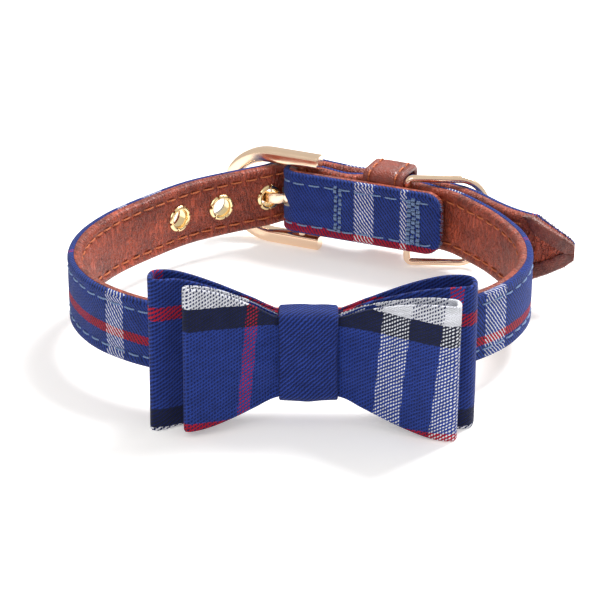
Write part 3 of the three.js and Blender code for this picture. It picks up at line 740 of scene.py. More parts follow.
def strap_layer(name, section, outward_sign, groove, bead, puff, wrinkle, material):
    """One layer of the strap along its whole route, quilted by its stitches."""
    stations = STATIONS
    half = half_width(stations)
    count = len(section)
    share, inset, depth, face = (section[:, k] for k in range(4))
    up = share[None] * (half[:, None] - inset[None])
    from_edge = half[:, None] - np.abs(up)
    stand = quilted(stations[:, None], from_edge, groove, bead, puff)
    if wrinkle:
        fold = waves(stations, 3, 2.6)[:, None] * waves(stations, 5, 17.0)[:, None]
        ripple = np.abs(waves(stations[:, None] + 0.25 * up, 8, 3.4))
        middle = smooth_step((from_edge - STITCH_INSET) / 1.5)
        stand = stand - wrinkle * middle * np.clip(0.7 - ripple, 0, 1) + 0.04 * fold * middle
    depth = depth[None] - outward_sign * stand * face[None]
    # both ends are rounded over
    thick_middle = (section[:, 2].min() + section[:, 2].max()) / 2
    end = np.minimum(stations, ROUTE_LENGTH - stations)
    squeeze = np.sqrt(np.clip(1 - (1 - np.clip(end / 0.8, 0, 1)) ** 2, 0.12, 1))
    depth = thick_middle + (depth - thick_middle) * squeeze[:, None]
    points = on_strap(stations[:, None], up, depth)
    flat = np.column_stack([section[:, 0] * (STRAP_WIDTH / 2 - section[:, 1]), section[:, 2]])
    steps = np.linalg.norm(np.diff(np.concatenate([flat, flat[:1]]), axis=0), axis=1)
    across = np.concatenate([[0], np.cumsum(steps)])
    shown = section[:, 3] > 0.999
    uv = np.empty((len(stations), count + 1, 2))
    uv[..., 0] = stations[:, None]
    uv[..., 1] = across[None]
    # on the face the coordinate is the true height, also where the strap narrows
    uv[:, :-1, 1] = np.where(shown[None], up + STRAP_WIDTH / 2, uv[:, :-1, 1])
    late = share < 0
    late[:FACE_STEPS + 1] = False
    uv[:, :-1, 1] = np.where((late & (face > 0) & ~shown)[None],
                             up + STRAP_WIDTH / 2 - 0.3, uv[:, :-1, 1])
    uv[:, -1, 1] = uv[:, 0, 1]
    made = Pieces()
    made.grid(points, uv, wrap_columns=True, flip=outward_sign > 0)
    made.cap(points[0], flip=outward_sign < 0)
    made.cap(points[-1], flip=outward_sign > 0)
    return made.make(name, material, smooth=50, weld=0.01)


TONGUE_HOLE_AT = STATIONS[np.argmin(np.linalg.norm(ROUTE - TONGUE_HOLE, axis=1))]


def eyelet_frame(number):
    """Axes and origin on the strap: along it, up, and out of the cloth."""
    length = TONGUE_HOLE_AT + (number - TONGUE_EYELET) * EYELET_PITCH
    point, on, out = on_route(length)
    origin = point.copy()
    origin[2] = mid_height(point[1])
    return np.array([on, UP, out]), origin


def strap_cutters():
    """Solids that are cut from both layers: the eyelets' holes, the tongue's ring and its slit."""
    cutters = []
    for number in EYELET_NUMBERS:
        axes, origin = eyelet_frame(number)
        outline = circle(EYELET_BORE / 2 + 0.5, 32)
        cutters.append(prism(outline, -1.6 * STRAP_THICK, 0.6 * STRAP_THICK, axes, origin))
    # inside the fold, round the tongue's ring; then a slit where the tongue comes out
    ring = BAR_DIAMETER / 2 + TONGUE_PLAY + TONGUE_THICK + 0.15
    origin = BAR + UP * mid_height(BAR[1])
    axes = np.array([FOLD_ALONG, FOLD_OUT, UP])
    cutters.append(prism(circle(ring, 48), -TONGUE_WIDTH / 2 - 0.2, TONGUE_WIDTH / 2 + 0.2,
                         axes, origin))
    low, high = -TONGUE_WIDTH / 2 - 0.15, TONGUE_WIDTH / 2 + 0.3
    outline = [(-BEND_RADIUS - 1, low), (0.9 - BEND_RADIUS, low), (3.0 - BEND_RADIUS, low + 0.5),
               (2.2 - BEND_RADIUS, 0.3), (0.9 - BEND_RADIUS, high), (-BEND_RADIUS - 1, high)]
    axes = np.array([FOLD_ALONG, UP, FOLD_OUT])
    cutters.append(prism(outline, -BEND_RADIUS - 1, BEND_RADIUS + 1, axes, origin))
    return cutters


STRAP_DOWN = ((DOWN_SHIFT - 0.5, 2.1, "red"),)
STRAP_CROSS = (
    (1.0, 6.0, "navy"), (7.0, 2.5, "white"), (9.5, 5.5, "navy"), (15.0, 5.8, "white"),
    (20.8, 3.7, "navy"), (50.0, 1.6, "red"), (86.5, 5.0, "white"), (121.0, 1.6, "red"),
    (141.0, 8.6, "navy"), (149.6, 6.0, "white"), (155.6, 9.0, "navy"),
    (193.0, 1.6, "red"), (230.0, 5.2, "navy"), (235.2, 5.0, "white"), (240.2, 5.5, "navy"),
    (263.5, 1.6, "red"), (292.3, 2.6, "white"), (294.9, 5.5, "navy"), (300.4, 5.6, "white"),
    (335.0, 1.6, "red"), (360.0, 5.4, "white"), (365.4, 5.0, "navy"), (412.0, 1.6, "red"),
)


def strap():
    """Both layers with their holes, then all that is sewn or frayed on them."""
    cutters = strap_cutters()
    cloth = plaid("plaid_strap", STRAP_DOWN, STRAP_CROSS, 40.0, ROUTE_LENGTH, 1.3,
                  drift=-0.024, dots=0.3, hidden=0.5)
    cover = strap_layer("strap_cloth", layer_section(0, COVER_THICK, True, 0.6, 0.15),
                        1, groove=0.3, bead=0.12, puff=0.1, wrinkle=0.0, material=cloth)
    inner = strap_layer("strap_leather", layer_section(COVER_THICK, STRAP_THICK, False, 0.9, 0.15),
                        -1, groove=0.45, bead=0.15, puff=0.05, wrinkle=0.16,
                        material=leather_strap)
    cut(cover, cutters)
    cut(inner, cutters)
    for cutter in cutters:
        bpy.data.objects.remove(cutter)
    finish_piece(cover, "plaid_cloth", "strap_cover")
    finish_piece(inner, "leather", "strap_lining")
    stitch_rows("cloth_stitches", 0.0, 1, -0.02, blue_thread, "plaid_cloth")
    stitch_rows("leather_stitches", STRAP_THICK, -1, 0.0, tan_thread, "leather")
    fold_tacks()
    turned_tip()
    tip_frays()
    fold_frays()


# Thread, the turned tip and frays


def tube(made, line, radius, sides=8):
    """A round thread along a line, closed at both ends. radius is one number or one a point."""
    line = np.asarray(line, float)
    run = way_on(line)
    side = np.cross(run, UP)
    flat = np.linalg.norm(side, axis=1) < 0.2
    side[flat] = np.cross(run[flat], FOLD_OUT)
    side /= np.linalg.norm(side, axis=1)[:, None]
    other = np.cross(side, run)
    ring = circle(1.0, sides)
    radius = np.broadcast_to(radius, len(line))
    points = line[:, None] + radius[:, None, None] * (
        ring[None, :, :1] * side[:, None] + ring[None, :, 1:] * other[:, None])
    along = np.linspace(0, len(line) * 0.4, len(line) + 1)
    uv = np.stack(np.meshgrid(along, np.linspace(0, 1.3, sides + 1), indexing="ij"), axis=-1)
    made.skin(points, uv)


def turned_tip():
    """The leather turned over along the tip's two slanted edges, mitred at the point."""
    first = ROUTE_LENGTH - TIP_LENGTH - 2.0
    width = 3.4
    for side, name in ((1, "tip_turn_upper"), (-1, "tip_turn_lower")):
        at = np.linspace(first, ROUTE_LENGTH - 0.05, 36)
        edge = half_width(at) + 0.12
        share = np.linspace(0, 1, 16)
        reach = width * smooth_step((at - first) / 2.5) * np.clip(
            (ROUTE_LENGTH - at) / 2.2 + 0.45, 0.4, 1)
        reach = np.minimum(reach + 0.25, edge + (0.15 if side > 0 else -0.1))
        up = side * (edge[:, None] - reach[:, None] * share[None])
        ragged = 0.16 * waves(at, 41 + side, 1.7) + 0.1 * waves(at, 51 + side, 0.6)
        up = up - side * ragged[:, None] * share[None] ** 3
        roll = np.sqrt(np.clip(1 - (1 - np.clip(share * 5.0, 0, 1)) ** 2, 0, 1))
        high = 0.15 + 0.55 * roll * (1 - 0.45 * share ** 6)
        high = high[None] + 0.1 * waves(at[:, None] * 0.9 + 2 * share, 61 + side, 2.4)
        high = high + (0.12 if side > 0 else 0.0)
        top = on_strap(at[:, None], up, STRAP_THICK + high - 0.1)
        under = on_strap(at[:, None], up, STRAP_THICK - 0.35)
        made = Pieces()
        shell = np.concatenate([top, under[:, ::-1]], axis=1)
        made.skin(shell)
        # the darker leather of the turned edges is painted shade
        finish_piece(made.make(name, tip_leather_painted_shade, smooth=50, weld=0.002), "leather")


def tip_frays():
    """Loose fibres round the tip's cut edges."""
    made = Pieces()
    draw = np.random.RandomState(23)
    for _ in range(TIP_FRAYS):
        at = ROUTE_LENGTH - TIP_LENGTH * draw.uniform(0.0, 1.05) ** 0.9
        side = draw.choice([-1, 1], p=[0.4, 0.6])
        edge = side * float(half_width(at))
        depth = draw.uniform(0.3, STRAP_THICK - 0.3)
        length = draw.uniform(0.3, 1.1)
        share = np.linspace(0, 1, 5)
        line = on_strap(
            np.minimum(at + length * share * draw.uniform(-0.5, 0.9), ROUTE_LENGTH + 0.6),
            edge + side * (length * share - 0.25), depth + 0.7 * draw.uniform(-1, 1) * share**2)
        line = line + RUN[-1] * max(0.0, 0.4 - (ROUTE_LENGTH - at)) * share[:, None]
        tube(made, line, 0.075 * (1.15 - share), sides=5)
    finish_piece(made.make("tip_frays", fray_material, smooth=60), "leather")


def fold_frays():
    """Loose fibres of both layers along the fold's cut end."""
    leather_made, cloth_made = Pieces(), Pieces()
    draw = np.random.RandomState(31)
    share = np.linspace(0, 1, 5)
    for _ in range(FOLD_FRAYS):
        up = draw.uniform(-0.98, 0.98) * (STRAP_WIDTH / 2 - 0.3)
        corner = max(0.0, abs(up) - (STRAP_WIDTH / 2 - FOLD_CORNER))
        start = FOLD_CORNER - math.sqrt(max(FOLD_CORNER**2 - corner**2, 0.0)) + 0.25
        depth = draw.uniform(0.2, STRAP_THICK - 0.3)
        length = draw.uniform(0.3, 0.8)
        first = on_strap(start, up, depth)
        sideways = draw.uniform(-0.5, 0.5)
        line = first - RUN[0] * (length * share)[:, None] + UP * (sideways * share**2)[:, None]
        made = cloth_made if depth < COVER_THICK else leather_made
        tube(made, line, 0.07 * (1.15 - share), sides=5)
    finish_piece(leather_made.make("fold_frays_leather", fray_material, smooth=60), "leather")
    finish_piece(cloth_made.make("fold_frays_cloth", blue_thread, smooth=60), "plaid_cloth")


STITCH_ENDS = (2.2, ROUTE_LENGTH - TIP_LENGTH + 1.0)


def stitch_rows(name, surface, outward, rise, material, slot):
    """Long stitches in both sewn grooves. surface is the depth of the face that they lie on."""
    made = Pieces()
    draw = np.random.RandomState(11)
    share = np.linspace(0, 1, 9)
    for side in (-1, 1):
        start = STITCH_ENDS[0] + (0.0 if side < 0 else 0.9)
        while start + STITCH_LENGTH < STITCH_ENDS[1]:
            length = STITCH_LENGTH * draw.uniform(0.92, 1.06)
            at = start + length * share
            inset = STITCH_INSET + draw.uniform(-0.12, 0.12)
            slant = draw.uniform(-0.16, 0.16) * (share - 0.5)
            up = side * (half_width(at) - inset) + slant
            arch = np.sin(share * math.pi) ** 0.5
            stand = -0.42 + (0.42 + rise) * arch
            tube(made, on_strap(at, up, surface - outward * stand), THREAD / 2)
            start += STITCH_PITCH
    finish_piece(made.make(name, material, smooth=60, weld=0.002), slot)


# Length along the strap, how many rows side by side, their spacing and the thread's radius
FOLD_TACKS = ((25.6, 2, 1.1, 0.2), (6.6, 3, 1.15, 0.26))
TACK_PITCH = 2.3


def fold_tacks():
    """The upright stitches that close the fold round the bar and the ring, with painted shade at their
    needle holes.
    """
    made, hole_shades = Pieces(), Pieces()
    draw = np.random.RandomState(5)
    share = np.linspace(0, 1, 7)
    reach = STRAP_WIDTH / 2 - 1.9
    for length, rows, spacing, radius in FOLD_TACKS:
        for number in range(rows):
            up = -reach + 0.6 * (number % 2)
            while up + TACK_PITCH < reach + 1.2:
                rise = TACK_PITCH * 0.84 * draw.uniform(0.92, 1.05)
                at = length + spacing * (number - (rows - 1) / 2) + draw.uniform(-0.12, 0.12)
                lean = draw.uniform(-0.3, 0.3) * (share - 0.5)
                arch = np.sin(share * math.pi) ** 0.5
                line = on_strap(at + lean, up + rise * share, 0.3 - 0.62 * arch)
                for strand in (-0.85, 0.85):
                    tube(made, line + strand * radius * FOLD_ALONG, radius)
                # painted shade: a dark tube at each needle hole stands in for the shade inside it
                hole = on_strap(at, up - 0.25 + 0.5 * share, 0.06)
                tube(hole_shades, hole, 0.3 * np.sin(0.2 + share * 2.7))
                up += TACK_PITCH
    finish_piece(made.make("fold_tack_stitches", blue_thread, smooth=60, weld=0.002),
                 "plaid_cloth")
    finish_piece(hole_shades.make("fold_tack_hole_shades", hole_shade_material, smooth=60, weld=0.002), "plaid_cloth")


def finish_piece(piece, slot, *nodes):
    """Says what a piece rides on and the solids that it stands for. Its slot is not used."""
    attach(piece, "root")
    if nodes:
        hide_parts(*nodes)
    return piece


# Bow

KNOT_FACE = -0.985 * (LOOP_DEPTH / 2) - 2 * SEAT_GAP
WALL_STEP = BOW_CLOTH + SEAT_GAP
LEAN_PIVOT = FRONT_RISE + STRAP_WIDTH
KNOT_AT = KNOT_FOOT + KNOT_HEIGHT / 2
PINCH_HEIGHT = KNOT_HEIGHT - 2 * BOW_CLOTH - 2 * SEAT_GAP

FRONT_PLACE = 100  # the cloth's coordinate at the middle of a loop's front
KNOT_PLACE = 20  # and at the middle of the knot's width

# Rows of out, front, back: shares of the reach and of the knot's height
BACK_BOW_LEFT = (
    (0, 0, 0), (0.21, 0, 0.02), (0.53, -0.01, 0.06), (0.78, -0.035, 0.1),
    (0.89, -0.1, 0.09), (0.96, -0.1, 0.05),
)
BACK_BOW_RIGHT = (
    (0, 0, 0), (0.21, -0.03, 0), (0.53, -0.14, 0.02), (0.82, -0.23, 0.02), (0.95, -0.2, -0.03),
)
FRONT_BOW_LEFT = (
    (0, 0, 0), (0.22, -0.03, -0.02), (0.51, -0.1, -0.09), (0.85, -0.18, -0.16),
    (0.96, -0.19, -0.18),
)
FRONT_BOW_RIGHT = (
    (0, 0, 0), (0.22, -0.1, -0.06), (0.51, -0.29, -0.22), (0.85, -0.5, -0.39),
    (0.96, -0.52, -0.43),
)
SPREAD = ((0, 0), (0.08, 0.2), (0.25, 0.42), (0.5, 0.73), (0.72, 0.93), (0.86, 1), (1, 1))


def wall_place(number):
    return KNOT_FACE - BOW_CLOTH - SEAT_GAP - BOW_CLOTH / 2 - number * WALL_STEP


def bow_line(left, right, reach, first_wall):
    """A bow loop's middle line in plan, anticlockwise, and its length round from the knot."""
    knot_half = KNOT_WIDTH / 2 + SEAT_GAP

    def wall(rows, side, number, column):
        half = reach[0] if side < 0 else reach[1]
        return [plan(BOW_SHIFT + side * (knot_half + (half - knot_half) * row[0]),
                     wall_place(number) + row[column] * KNOT_HEIGHT) for row in rows]

    def end(rows, side):
        y = (wall(rows, side, first_wall, 2)[-1][1] + wall(rows, side, first_wall + 1, 1)[-1][1]) / 2
        half = reach[0] if side < 0 else reach[1]
        return plan(BOW_SHIFT + side * (half - BOW_CLOTH / 2), y)

    ends = [
        *wall(right, 1, first_wall, 2), end(right, 1),
        *wall(right, 1, first_wall + 1, 1)[::-1],
        *wall(left, -1, first_wall + 1, 1), end(left, -1),
        *wall(left, -1, first_wall, 2)[::-1],
    ]
    line = catmull(ends[::-1], 10, closed=True)
    line = np.concatenate([line, line[:1]])
    line, lengths = evenly(line, 0.5)
    return line[:-1], lengths


def bow_section():
    """Rows of (out from the middle, share of height, rim): outer face, top, inner face, foot."""
    half, edge, steps = BOW_CLOTH / 2, 0.42, 56
    level = np.linspace(0, 1, steps)
    rows = [(half, t, edge * (1 - 2 * t)) for t in level]
    rows += [(half * math.cos(turn), 1, edge * math.sin(turn) - edge) for turn in HALF_ROUND]
    rows += [(-half, t, edge * (1 - 2 * t)) for t in level[::-1]]
    rows += [(half * math.cos(turn), 0, edge - edge * math.sin(turn)) for turn in HALF_ROUND[::-1]]
    return np.array(rows)


def bow_loop(name, left, right, reach, first_wall, foot, lean, material, seed):
    """A flat loop of cloth, pinched low at the knot and spread to full height at its ends."""
    line, lengths = bow_line(left, right, reach, first_wall)
    on_left = line[:, 0] < BOW_SHIFT
    half, knot_half = np.where(on_left, *reach), KNOT_WIDTH / 2 + SEAT_GAP
    run, _ = ring_normals(line)
    outward = np.stack([run[:, 1], -run[:, 0], np.zeros(len(run))], axis=1)
    share = np.clip((np.abs(line[:, 0] - BOW_SHIFT) - knot_half) / (half - knot_half), 0, 1)
    spread = np.interp(share, *np.transpose(SPREAD))
    # rounder than the table's straight pieces
    spread = np.convolve(np.concatenate([spread[-6:], spread, spread[:6]]), np.ones(13) / 13, "valid")
    low = (KNOT_AT - PINCH_HEIGHT / 2) * (1 - spread) + np.where(on_left, *foot) * spread
    high = (KNOT_AT + PINCH_HEIGHT / 2) * (1 - spread) + BOW_HEIGHT * spread
    ends = np.where(on_left, *lean)
    tilt = KNOT_LEAN + (ends - KNOT_LEAN) * share
    rows = bow_section()
    stand, level, rim = (rows[:, k] for k in range(3))
    z = low[:, None] + (high - low)[:, None] * level[None] + rim[None]
    near = np.exp(-share / 0.22)[:, None] * smooth_step(share[:, None] / 0.05)
    mid = (level[None] - 0.5) * 2
    pleat = 0.42 * near * np.cos(mid * 5.2 + 0.4 * seed)
    slack = 0.14 * smooth_step(share * 3)[:, None] * (
        waves(lengths[:-1, None] + 3 * mid, 20 + seed, 21.0) * (1 - 0.3 * mid**2))
    shift = pleat + slack
    base = line[:, None] + outward[:, None] * (stand[None] + shift)[..., None]
    base[..., 2] = z
    base[..., 1] += tilt[:, None] * (z - LEAN_PIVOT)
    perimeter = lengths[-1]
    front = np.argmin(np.where(outward[:, 1] < 0, np.abs(line[:, 0] - BOW_SHIFT), 1e9))
    direction = np.sign(run[front][0])
    along = (np.arange(len(line) + 1) - front) * perimeter / len(line) * direction + FRONT_PLACE
    uv = np.empty((len(line) + 1, len(rows) + 1, 2))
    uv[..., 0] = along[:, None]
    # the inner face is the same cloth turned in over the upper edge
    inner = stand < -0.2
    bottom = np.where(on_left, *foot)[:, None]
    level_z = (z - bottom) * BOW_HEIGHT / (BOW_HEIGHT - bottom)
    height = np.where(inner[None], 2 * BOW_HEIGHT - level_z, level_z)
    uv[:, :-1, 1] = np.concatenate([height, height[:1]])
    uv[:, -1, 1] = uv[:, 0, 1]
    made = Pieces()
    made.grid(base, uv, wrap_rows=True, wrap_columns=True, flip=True)
    piece = made.make(name, material, smooth=60)
    return piece


def bow():
    """Both loops, each with its own place on the plaid."""
    front_cloth = plaid(
        "plaid_front", ((0.0, 1.8, "red"), (22.0, 4.8, "navy"), (26.8, 9.0, "white")),
        ((85.0, 2.2, "red"), (113.0, 5.6, "white"), (126.3, 6.4, "white"),
         (150.0, 5.6, "white"), (166.0, 2.0, "red")), 70, 220, 0.6, -0.09,
        dots=0.75, hidden=0.5)
    back_cloth = plaid(
        "plaid_back", ((0.0, 0.6, "white"), (0.6, 3.8, "navy"), (22.7, 2.9, "red"),
                       (36.0, 3.0, "red")),
        ((60.0, 3.0, "red"), (127.0, 2.0, "red"), (158.0, 2.2, "red")), 70, 220, 0.6, -0.05,
        dots=0.6, hidden=0.2)
    back = bow_loop("bow_back_cloth", BACK_BOW_LEFT, BACK_BOW_RIGHT, BACK_BOW_REACH, 0,
                    BACK_BOW_FOOT, BACK_BOW_LEAN, back_cloth, 1)
    front = bow_loop("bow_front_cloth", FRONT_BOW_LEFT, FRONT_BOW_RIGHT, FRONT_BOW_REACH, 2,
                     FRONT_BOW_FOOT, FRONT_BOW_LEAN, front_cloth, 2)
    finish_piece(back, "plaid_cloth", "bow_back")
    finish_piece(front, "plaid_cloth", "bow_front")


def knot():
    """A band of cloth round both loops, its edges turned in."""
    front = wall_place(3) - BOW_CLOTH / 2 - SEAT_GAP - BOW_CLOTH
    depth = KNOT_FACE - front
    centre = np.array([BOW_SHIFT, (front + KNOT_FACE) / 2, KNOT_AT])
    ring, lengths = even_ring(depth, KNOT_HEIGHT, KNOT_CORNER, 0.4)
    normal = ring_normals(ring)[1]
    half = KNOT_WIDTH / 2
    rows = band_rows(half, 0.45, BOW_CLOTH, 26, 0.3)
    upness = (ring[:, 1] / (KNOT_HEIGHT / 2))[:, None]
    # the front face is drawn in a little at its middle, where the band is pulled tight
    waist = 1 - 0.035 * (1 - upness**2)
    x = rows[None, :, 0] * waist
    crease = 0.1 * waves(ring[:, 1][:, None] * 0.5 + 2.2 * np.sin(x * 0.4), 31, 6.0) * rows[None, :, 2]
    puff = 0.22 * (1 - (x / half) ** 2) * rows[None, :, 2] + crease
    out = rows[None, :, 1] + puff
    y = ring[:, 0][:, None] + normal[:, 0][:, None] * out
    z = ring[:, 1][:, None] + normal[:, 1][:, None] * out
    points = np.stack([x + centre[0], y + centre[1], z + centre[2]], axis=-1)
    points[..., 1] += KNOT_LEAN * (points[..., 2] - LEAN_PIVOT)
    uv = np.empty((len(ring) + 1, len(rows) + 1, 2))
    uv[..., 1] = lengths[:, None]
    uv[:, :-1, 0] = rows[None, :, 0] + KNOT_PLACE
    uv[:, -1, 0] = uv[:, 0, 0]
    made = Pieces()
    made.grid(points, uv, wrap_rows=True, wrap_columns=True, flip=False)
    cloth = plaid("plaid_knot", (), (), 60, 60, -0.9)
    band = made.make("bow_knot_cloth", cloth, smooth=60)
    finish_piece(band, "plaid_cloth", "bow_knot")


# Metal


def eyelet(number):
    """Barrel, a smooth washer on the cloth, and a rim split into petals on the leather."""
    axes, origin = eyelet_frame(number)
    bore, rim = EYELET_BORE / 2, EYELET_FLANGE / 2
    cloth, back = 0.1, -STRAP_THICK - 0.05
    sides = 96
    turn = np.arange(sides) * 2 * math.pi / sides
    phase = (turn * EYELET_PETALS / (2 * math.pi) + 0.35 * number) % 1.0
    notch = np.exp(-((phase - 0.5) / 0.05) ** 2)
    lengths = 1 + 0.04 * np.sin(turn * 2 + number) + 0.03 * np.sin(turn * 5 + 2 * number)
    reach = bore + 0.3 + (rim - bore - 0.3) * lengths * (1 - 0.8 * notch)
    profile = [
        (bore + 0.6, 0, cloth), (bore + 0.04, 0, back + 0.6), (bore + 0.12, 0, back - 0.1),
        (bore + 0.26, 0, back - 0.38), (0, 0.5, back - 0.52), (0, 0.75, back - 0.45),
        (0, 0.94, back - 0.24), (0, 1, back - 0.06),
        (0, 0.9, back), (bore + 0.35, 0, back + 0.05), (bore + 0.85, 0, cloth),
        (rim - 0.1, 0, cloth), (rim, 0, cloth + 0.12), (rim - 0.12, 0, cloth + 0.34),
        (bore + 0.82, 0, cloth + 0.5), (bore + 0.64, 0, cloth + 0.38),
    ]
    points = np.empty((len(profile), sides, 3))
    for i, (radius, share, height) in enumerate(profile):
        r = radius + np.zeros(sides)
        if share:
            r = bore + (reach - bore) * share
        flat = np.column_stack([r * np.cos(turn), r * np.sin(turn), np.full(sides, height)])
        points[i] = flat @ axes + origin
    made = Pieces()
    made.grid(points, wrap_rows=True, wrap_columns=True)
    piece = made.make("eyelet_metal_%d" % number, brass, smooth=35)
    finish_piece(piece, "eyelet_metal", "eyelet_%d" % number)


BUCKLE_ORIGIN = np.array([BAR[0], BAR[1], BUCKLE_HEIGHT / 2])


def buckle():
    """A domed frame, open at its heel, with its bar."""
    half = BUCKLE_HEIGHT / 2 - BUCKLE_ARM / 2
    bow_from = HEEL - BUCKLE_STRAIGHT
    straight = np.linspace(HEEL, bow_from, 24)
    line = [(x, half) for x in straight]
    for turn in np.radians(np.linspace(90, 270, 73)[1:]):
        line.append((bow_from + (BUCKLE_ARC - BUCKLE_ARM / 2) * math.cos(turn), half * math.sin(turn)))
    line += [(x, -half) for x in straight[::-1][1:]]
    run = way_on(np.array(line))
    inward = np.stack([-run[:, 1], run[:, 0]], axis=1)
    world = lay(np.array(line), FOLD_ALONG, UP) + BUCKLE_ORIGIN
    across = lay(inward, FOLD_ALONG, UP)
    section = []
    for turn in np.radians(np.arange(0, 360, 7.5)):
        c, s = math.cos(turn), math.sin(turn)
        inward_at = BUCKLE_ARM / 2 * math.copysign(abs(c) ** 0.6, c)
        forward_at = BUCKLE_DEPTH / 2 * math.copysign(abs(s) ** 0.6, s)
        if s > 0:
            forward_at -= 0.1 * (BUCKLE_ARM / 2 - inward_at) * s
        section.append((inward_at, forward_at))
    section = np.array(section)
    made = Pieces()
    centres = np.concatenate([world[:1], world])
    inwards = np.concatenate([across[:1], across])
    # the two ends are eased over before their flat faces
    end_share, end_depth = 0.86, 0.25 * FOLD_ALONG
    ease = np.ones(len(centres))
    ease[0] = end_share
    centres[1] -= end_depth
    rings = (centres[:, None]
             + (section[None, :, :1] * inwards[:, None]
                + section[None, :, 1:2] * -FOLD_OUT) * ease[:, None, None])
    last = rings[-1].copy()
    middle = last.mean(axis=0)
    rings[-1] -= end_depth
    rings = np.concatenate([rings, [middle + end_share * (last - middle)]])
    made.skin(rings)
    bar = np.linspace(-half, half, 12)
    bar_line = bar[:, None] * UP + BUCKLE_ORIGIN
    sweep(made, bar_line, FOLD_ALONG, FOLD_OUT, circle(BAR_DIAMETER / 2, 20))
    finish_piece(made.make("buckle_metal", gold, smooth=40), "gold_metal", "buckle_frame")


def tongue():
    """A flat prong round the bar, through its eyelet and on to the frame."""
    axes, hold = eyelet_frame(TONGUE_EYELET)
    on, _, out = axes
    hold = hold * np.array([1, 1, 0])
    inner, half = BAR_DIAMETER / 2 + TONGUE_PLAY, TONGUE_THICK / 2

    def through(outward, onward):
        return hold + outward * out + onward * on

    rest_along = HEEL - BUCKLE_STRAIGHT - BUCKLE_ARC + BUCKLE_ARM / 2
    rest_out = BEND_RADIUS + BUCKLE_DEPTH / 2 + SEAT_GAP + half
    rows = [
        round_bar(inner + half, 200),
        through(-STRAP_THICK - SEAT_GAP - 0.6 - 2.2 * half, EYELET_FLANGE / 2),
        through(-STRAP_THICK - 0.6 - half, 0.2 * EYELET_BORE),
        through(half, -0.15 * EYELET_BORE),
        at_fold(rest_along + 1.9 * BUCKLE_ARM, rest_out - 0.2 * BUCKLE_ARM),
        at_fold(rest_along, rest_out),
        at_fold(rest_along - 0.6 * BUCKLE_ARM, rest_out + 0.1),
    ]
    line = catmull(rows, 8)
    run = way_on(line)
    normal = np.stack([-run[:, 1], run[:, 0], np.zeros(len(run))], axis=1)
    line = line + UP * mid_height(BAR[1])
    made = Pieces()
    section = rounded_section(TONGUE_THICK, TONGUE_WIDTH, 0.45, 5)
    taper = np.ones(len(line))
    taper[-1], taper[-2] = 0.7, 0.92
    points = (line[:, None] + section[None, :, :1] * normal[:, None]
              + section[None, :, 1:2] * taper[:, None, None] * UP)
    made.skin(points, flip=True)
    ring = np.radians(np.arange(0, 360, 10))
    eye = [BAR + plan((inner + half) * math.cos(t), (inner + half) * math.sin(t)) for t in ring]
    eye = np.array(eye) + UP * mid_height(BAR[1])
    away = np.stack([np.cos(ring), np.sin(ring), np.zeros(len(ring))], axis=1)
    sweep(made, eye, away, UP, rounded_section(TONGUE_THICK, TONGUE_WIDTH, 0.45, 4), closed=True)
    finish_piece(made.make("tongue_metal", gold, smooth=40), "gold_metal", "buckle_tongue")


def d_ring():
    """A wire ring with one straight side, which the fold holds."""
    inset = RING_WIRE / 2
    half, corner = RING_HEIGHT / 2 - inset, RING_CORNER - inset
    line = [(x, -half) for x in np.linspace(corner, RING_STRAIGHT, 10)]
    for turn in np.radians(np.linspace(-90, 90, 49)[1:]):
        line.append((RING_STRAIGHT + (RING_ARC - inset) * math.cos(turn), half * math.sin(turn)))
    line += [(x, half) for x in np.linspace(RING_STRAIGHT, corner, 10)[1:]]
    for turn in np.radians(np.linspace(90, 180, 6)[1:]):
        line.append((corner + corner * math.cos(turn), half - corner + corner * math.sin(turn)))
    line += [(0.0, y) for y in np.linspace(half - corner, corner - half, 14)[1:]]
    for turn in np.radians(np.linspace(180, 270, 6)[1:-1]):
        line.append((corner + corner * math.cos(turn), corner - half + corner * math.sin(turn)))
    line = np.array(line)
    outward = ring_normals(line)[1]
    along = plan(math.cos(RING_ANGLE), -math.sin(RING_ANGLE))
    seat = at_fold(RING_ALONG, STRAP_THICK + SEAT_GAP + RING_WIRE / 2)
    seat[2] = mid_height(seat[1]) - RING_DROP
    world = lay(line, along, UP) + seat
    across = lay(outward, along, UP)
    made = Pieces()
    sweep(made, world, across, np.cross(along, UP), circle(RING_WIRE / 2, 20), closed=True)
    finish_piece(made.make("d_ring_metal", gold, smooth=60), "gold_metal", "d_ring")


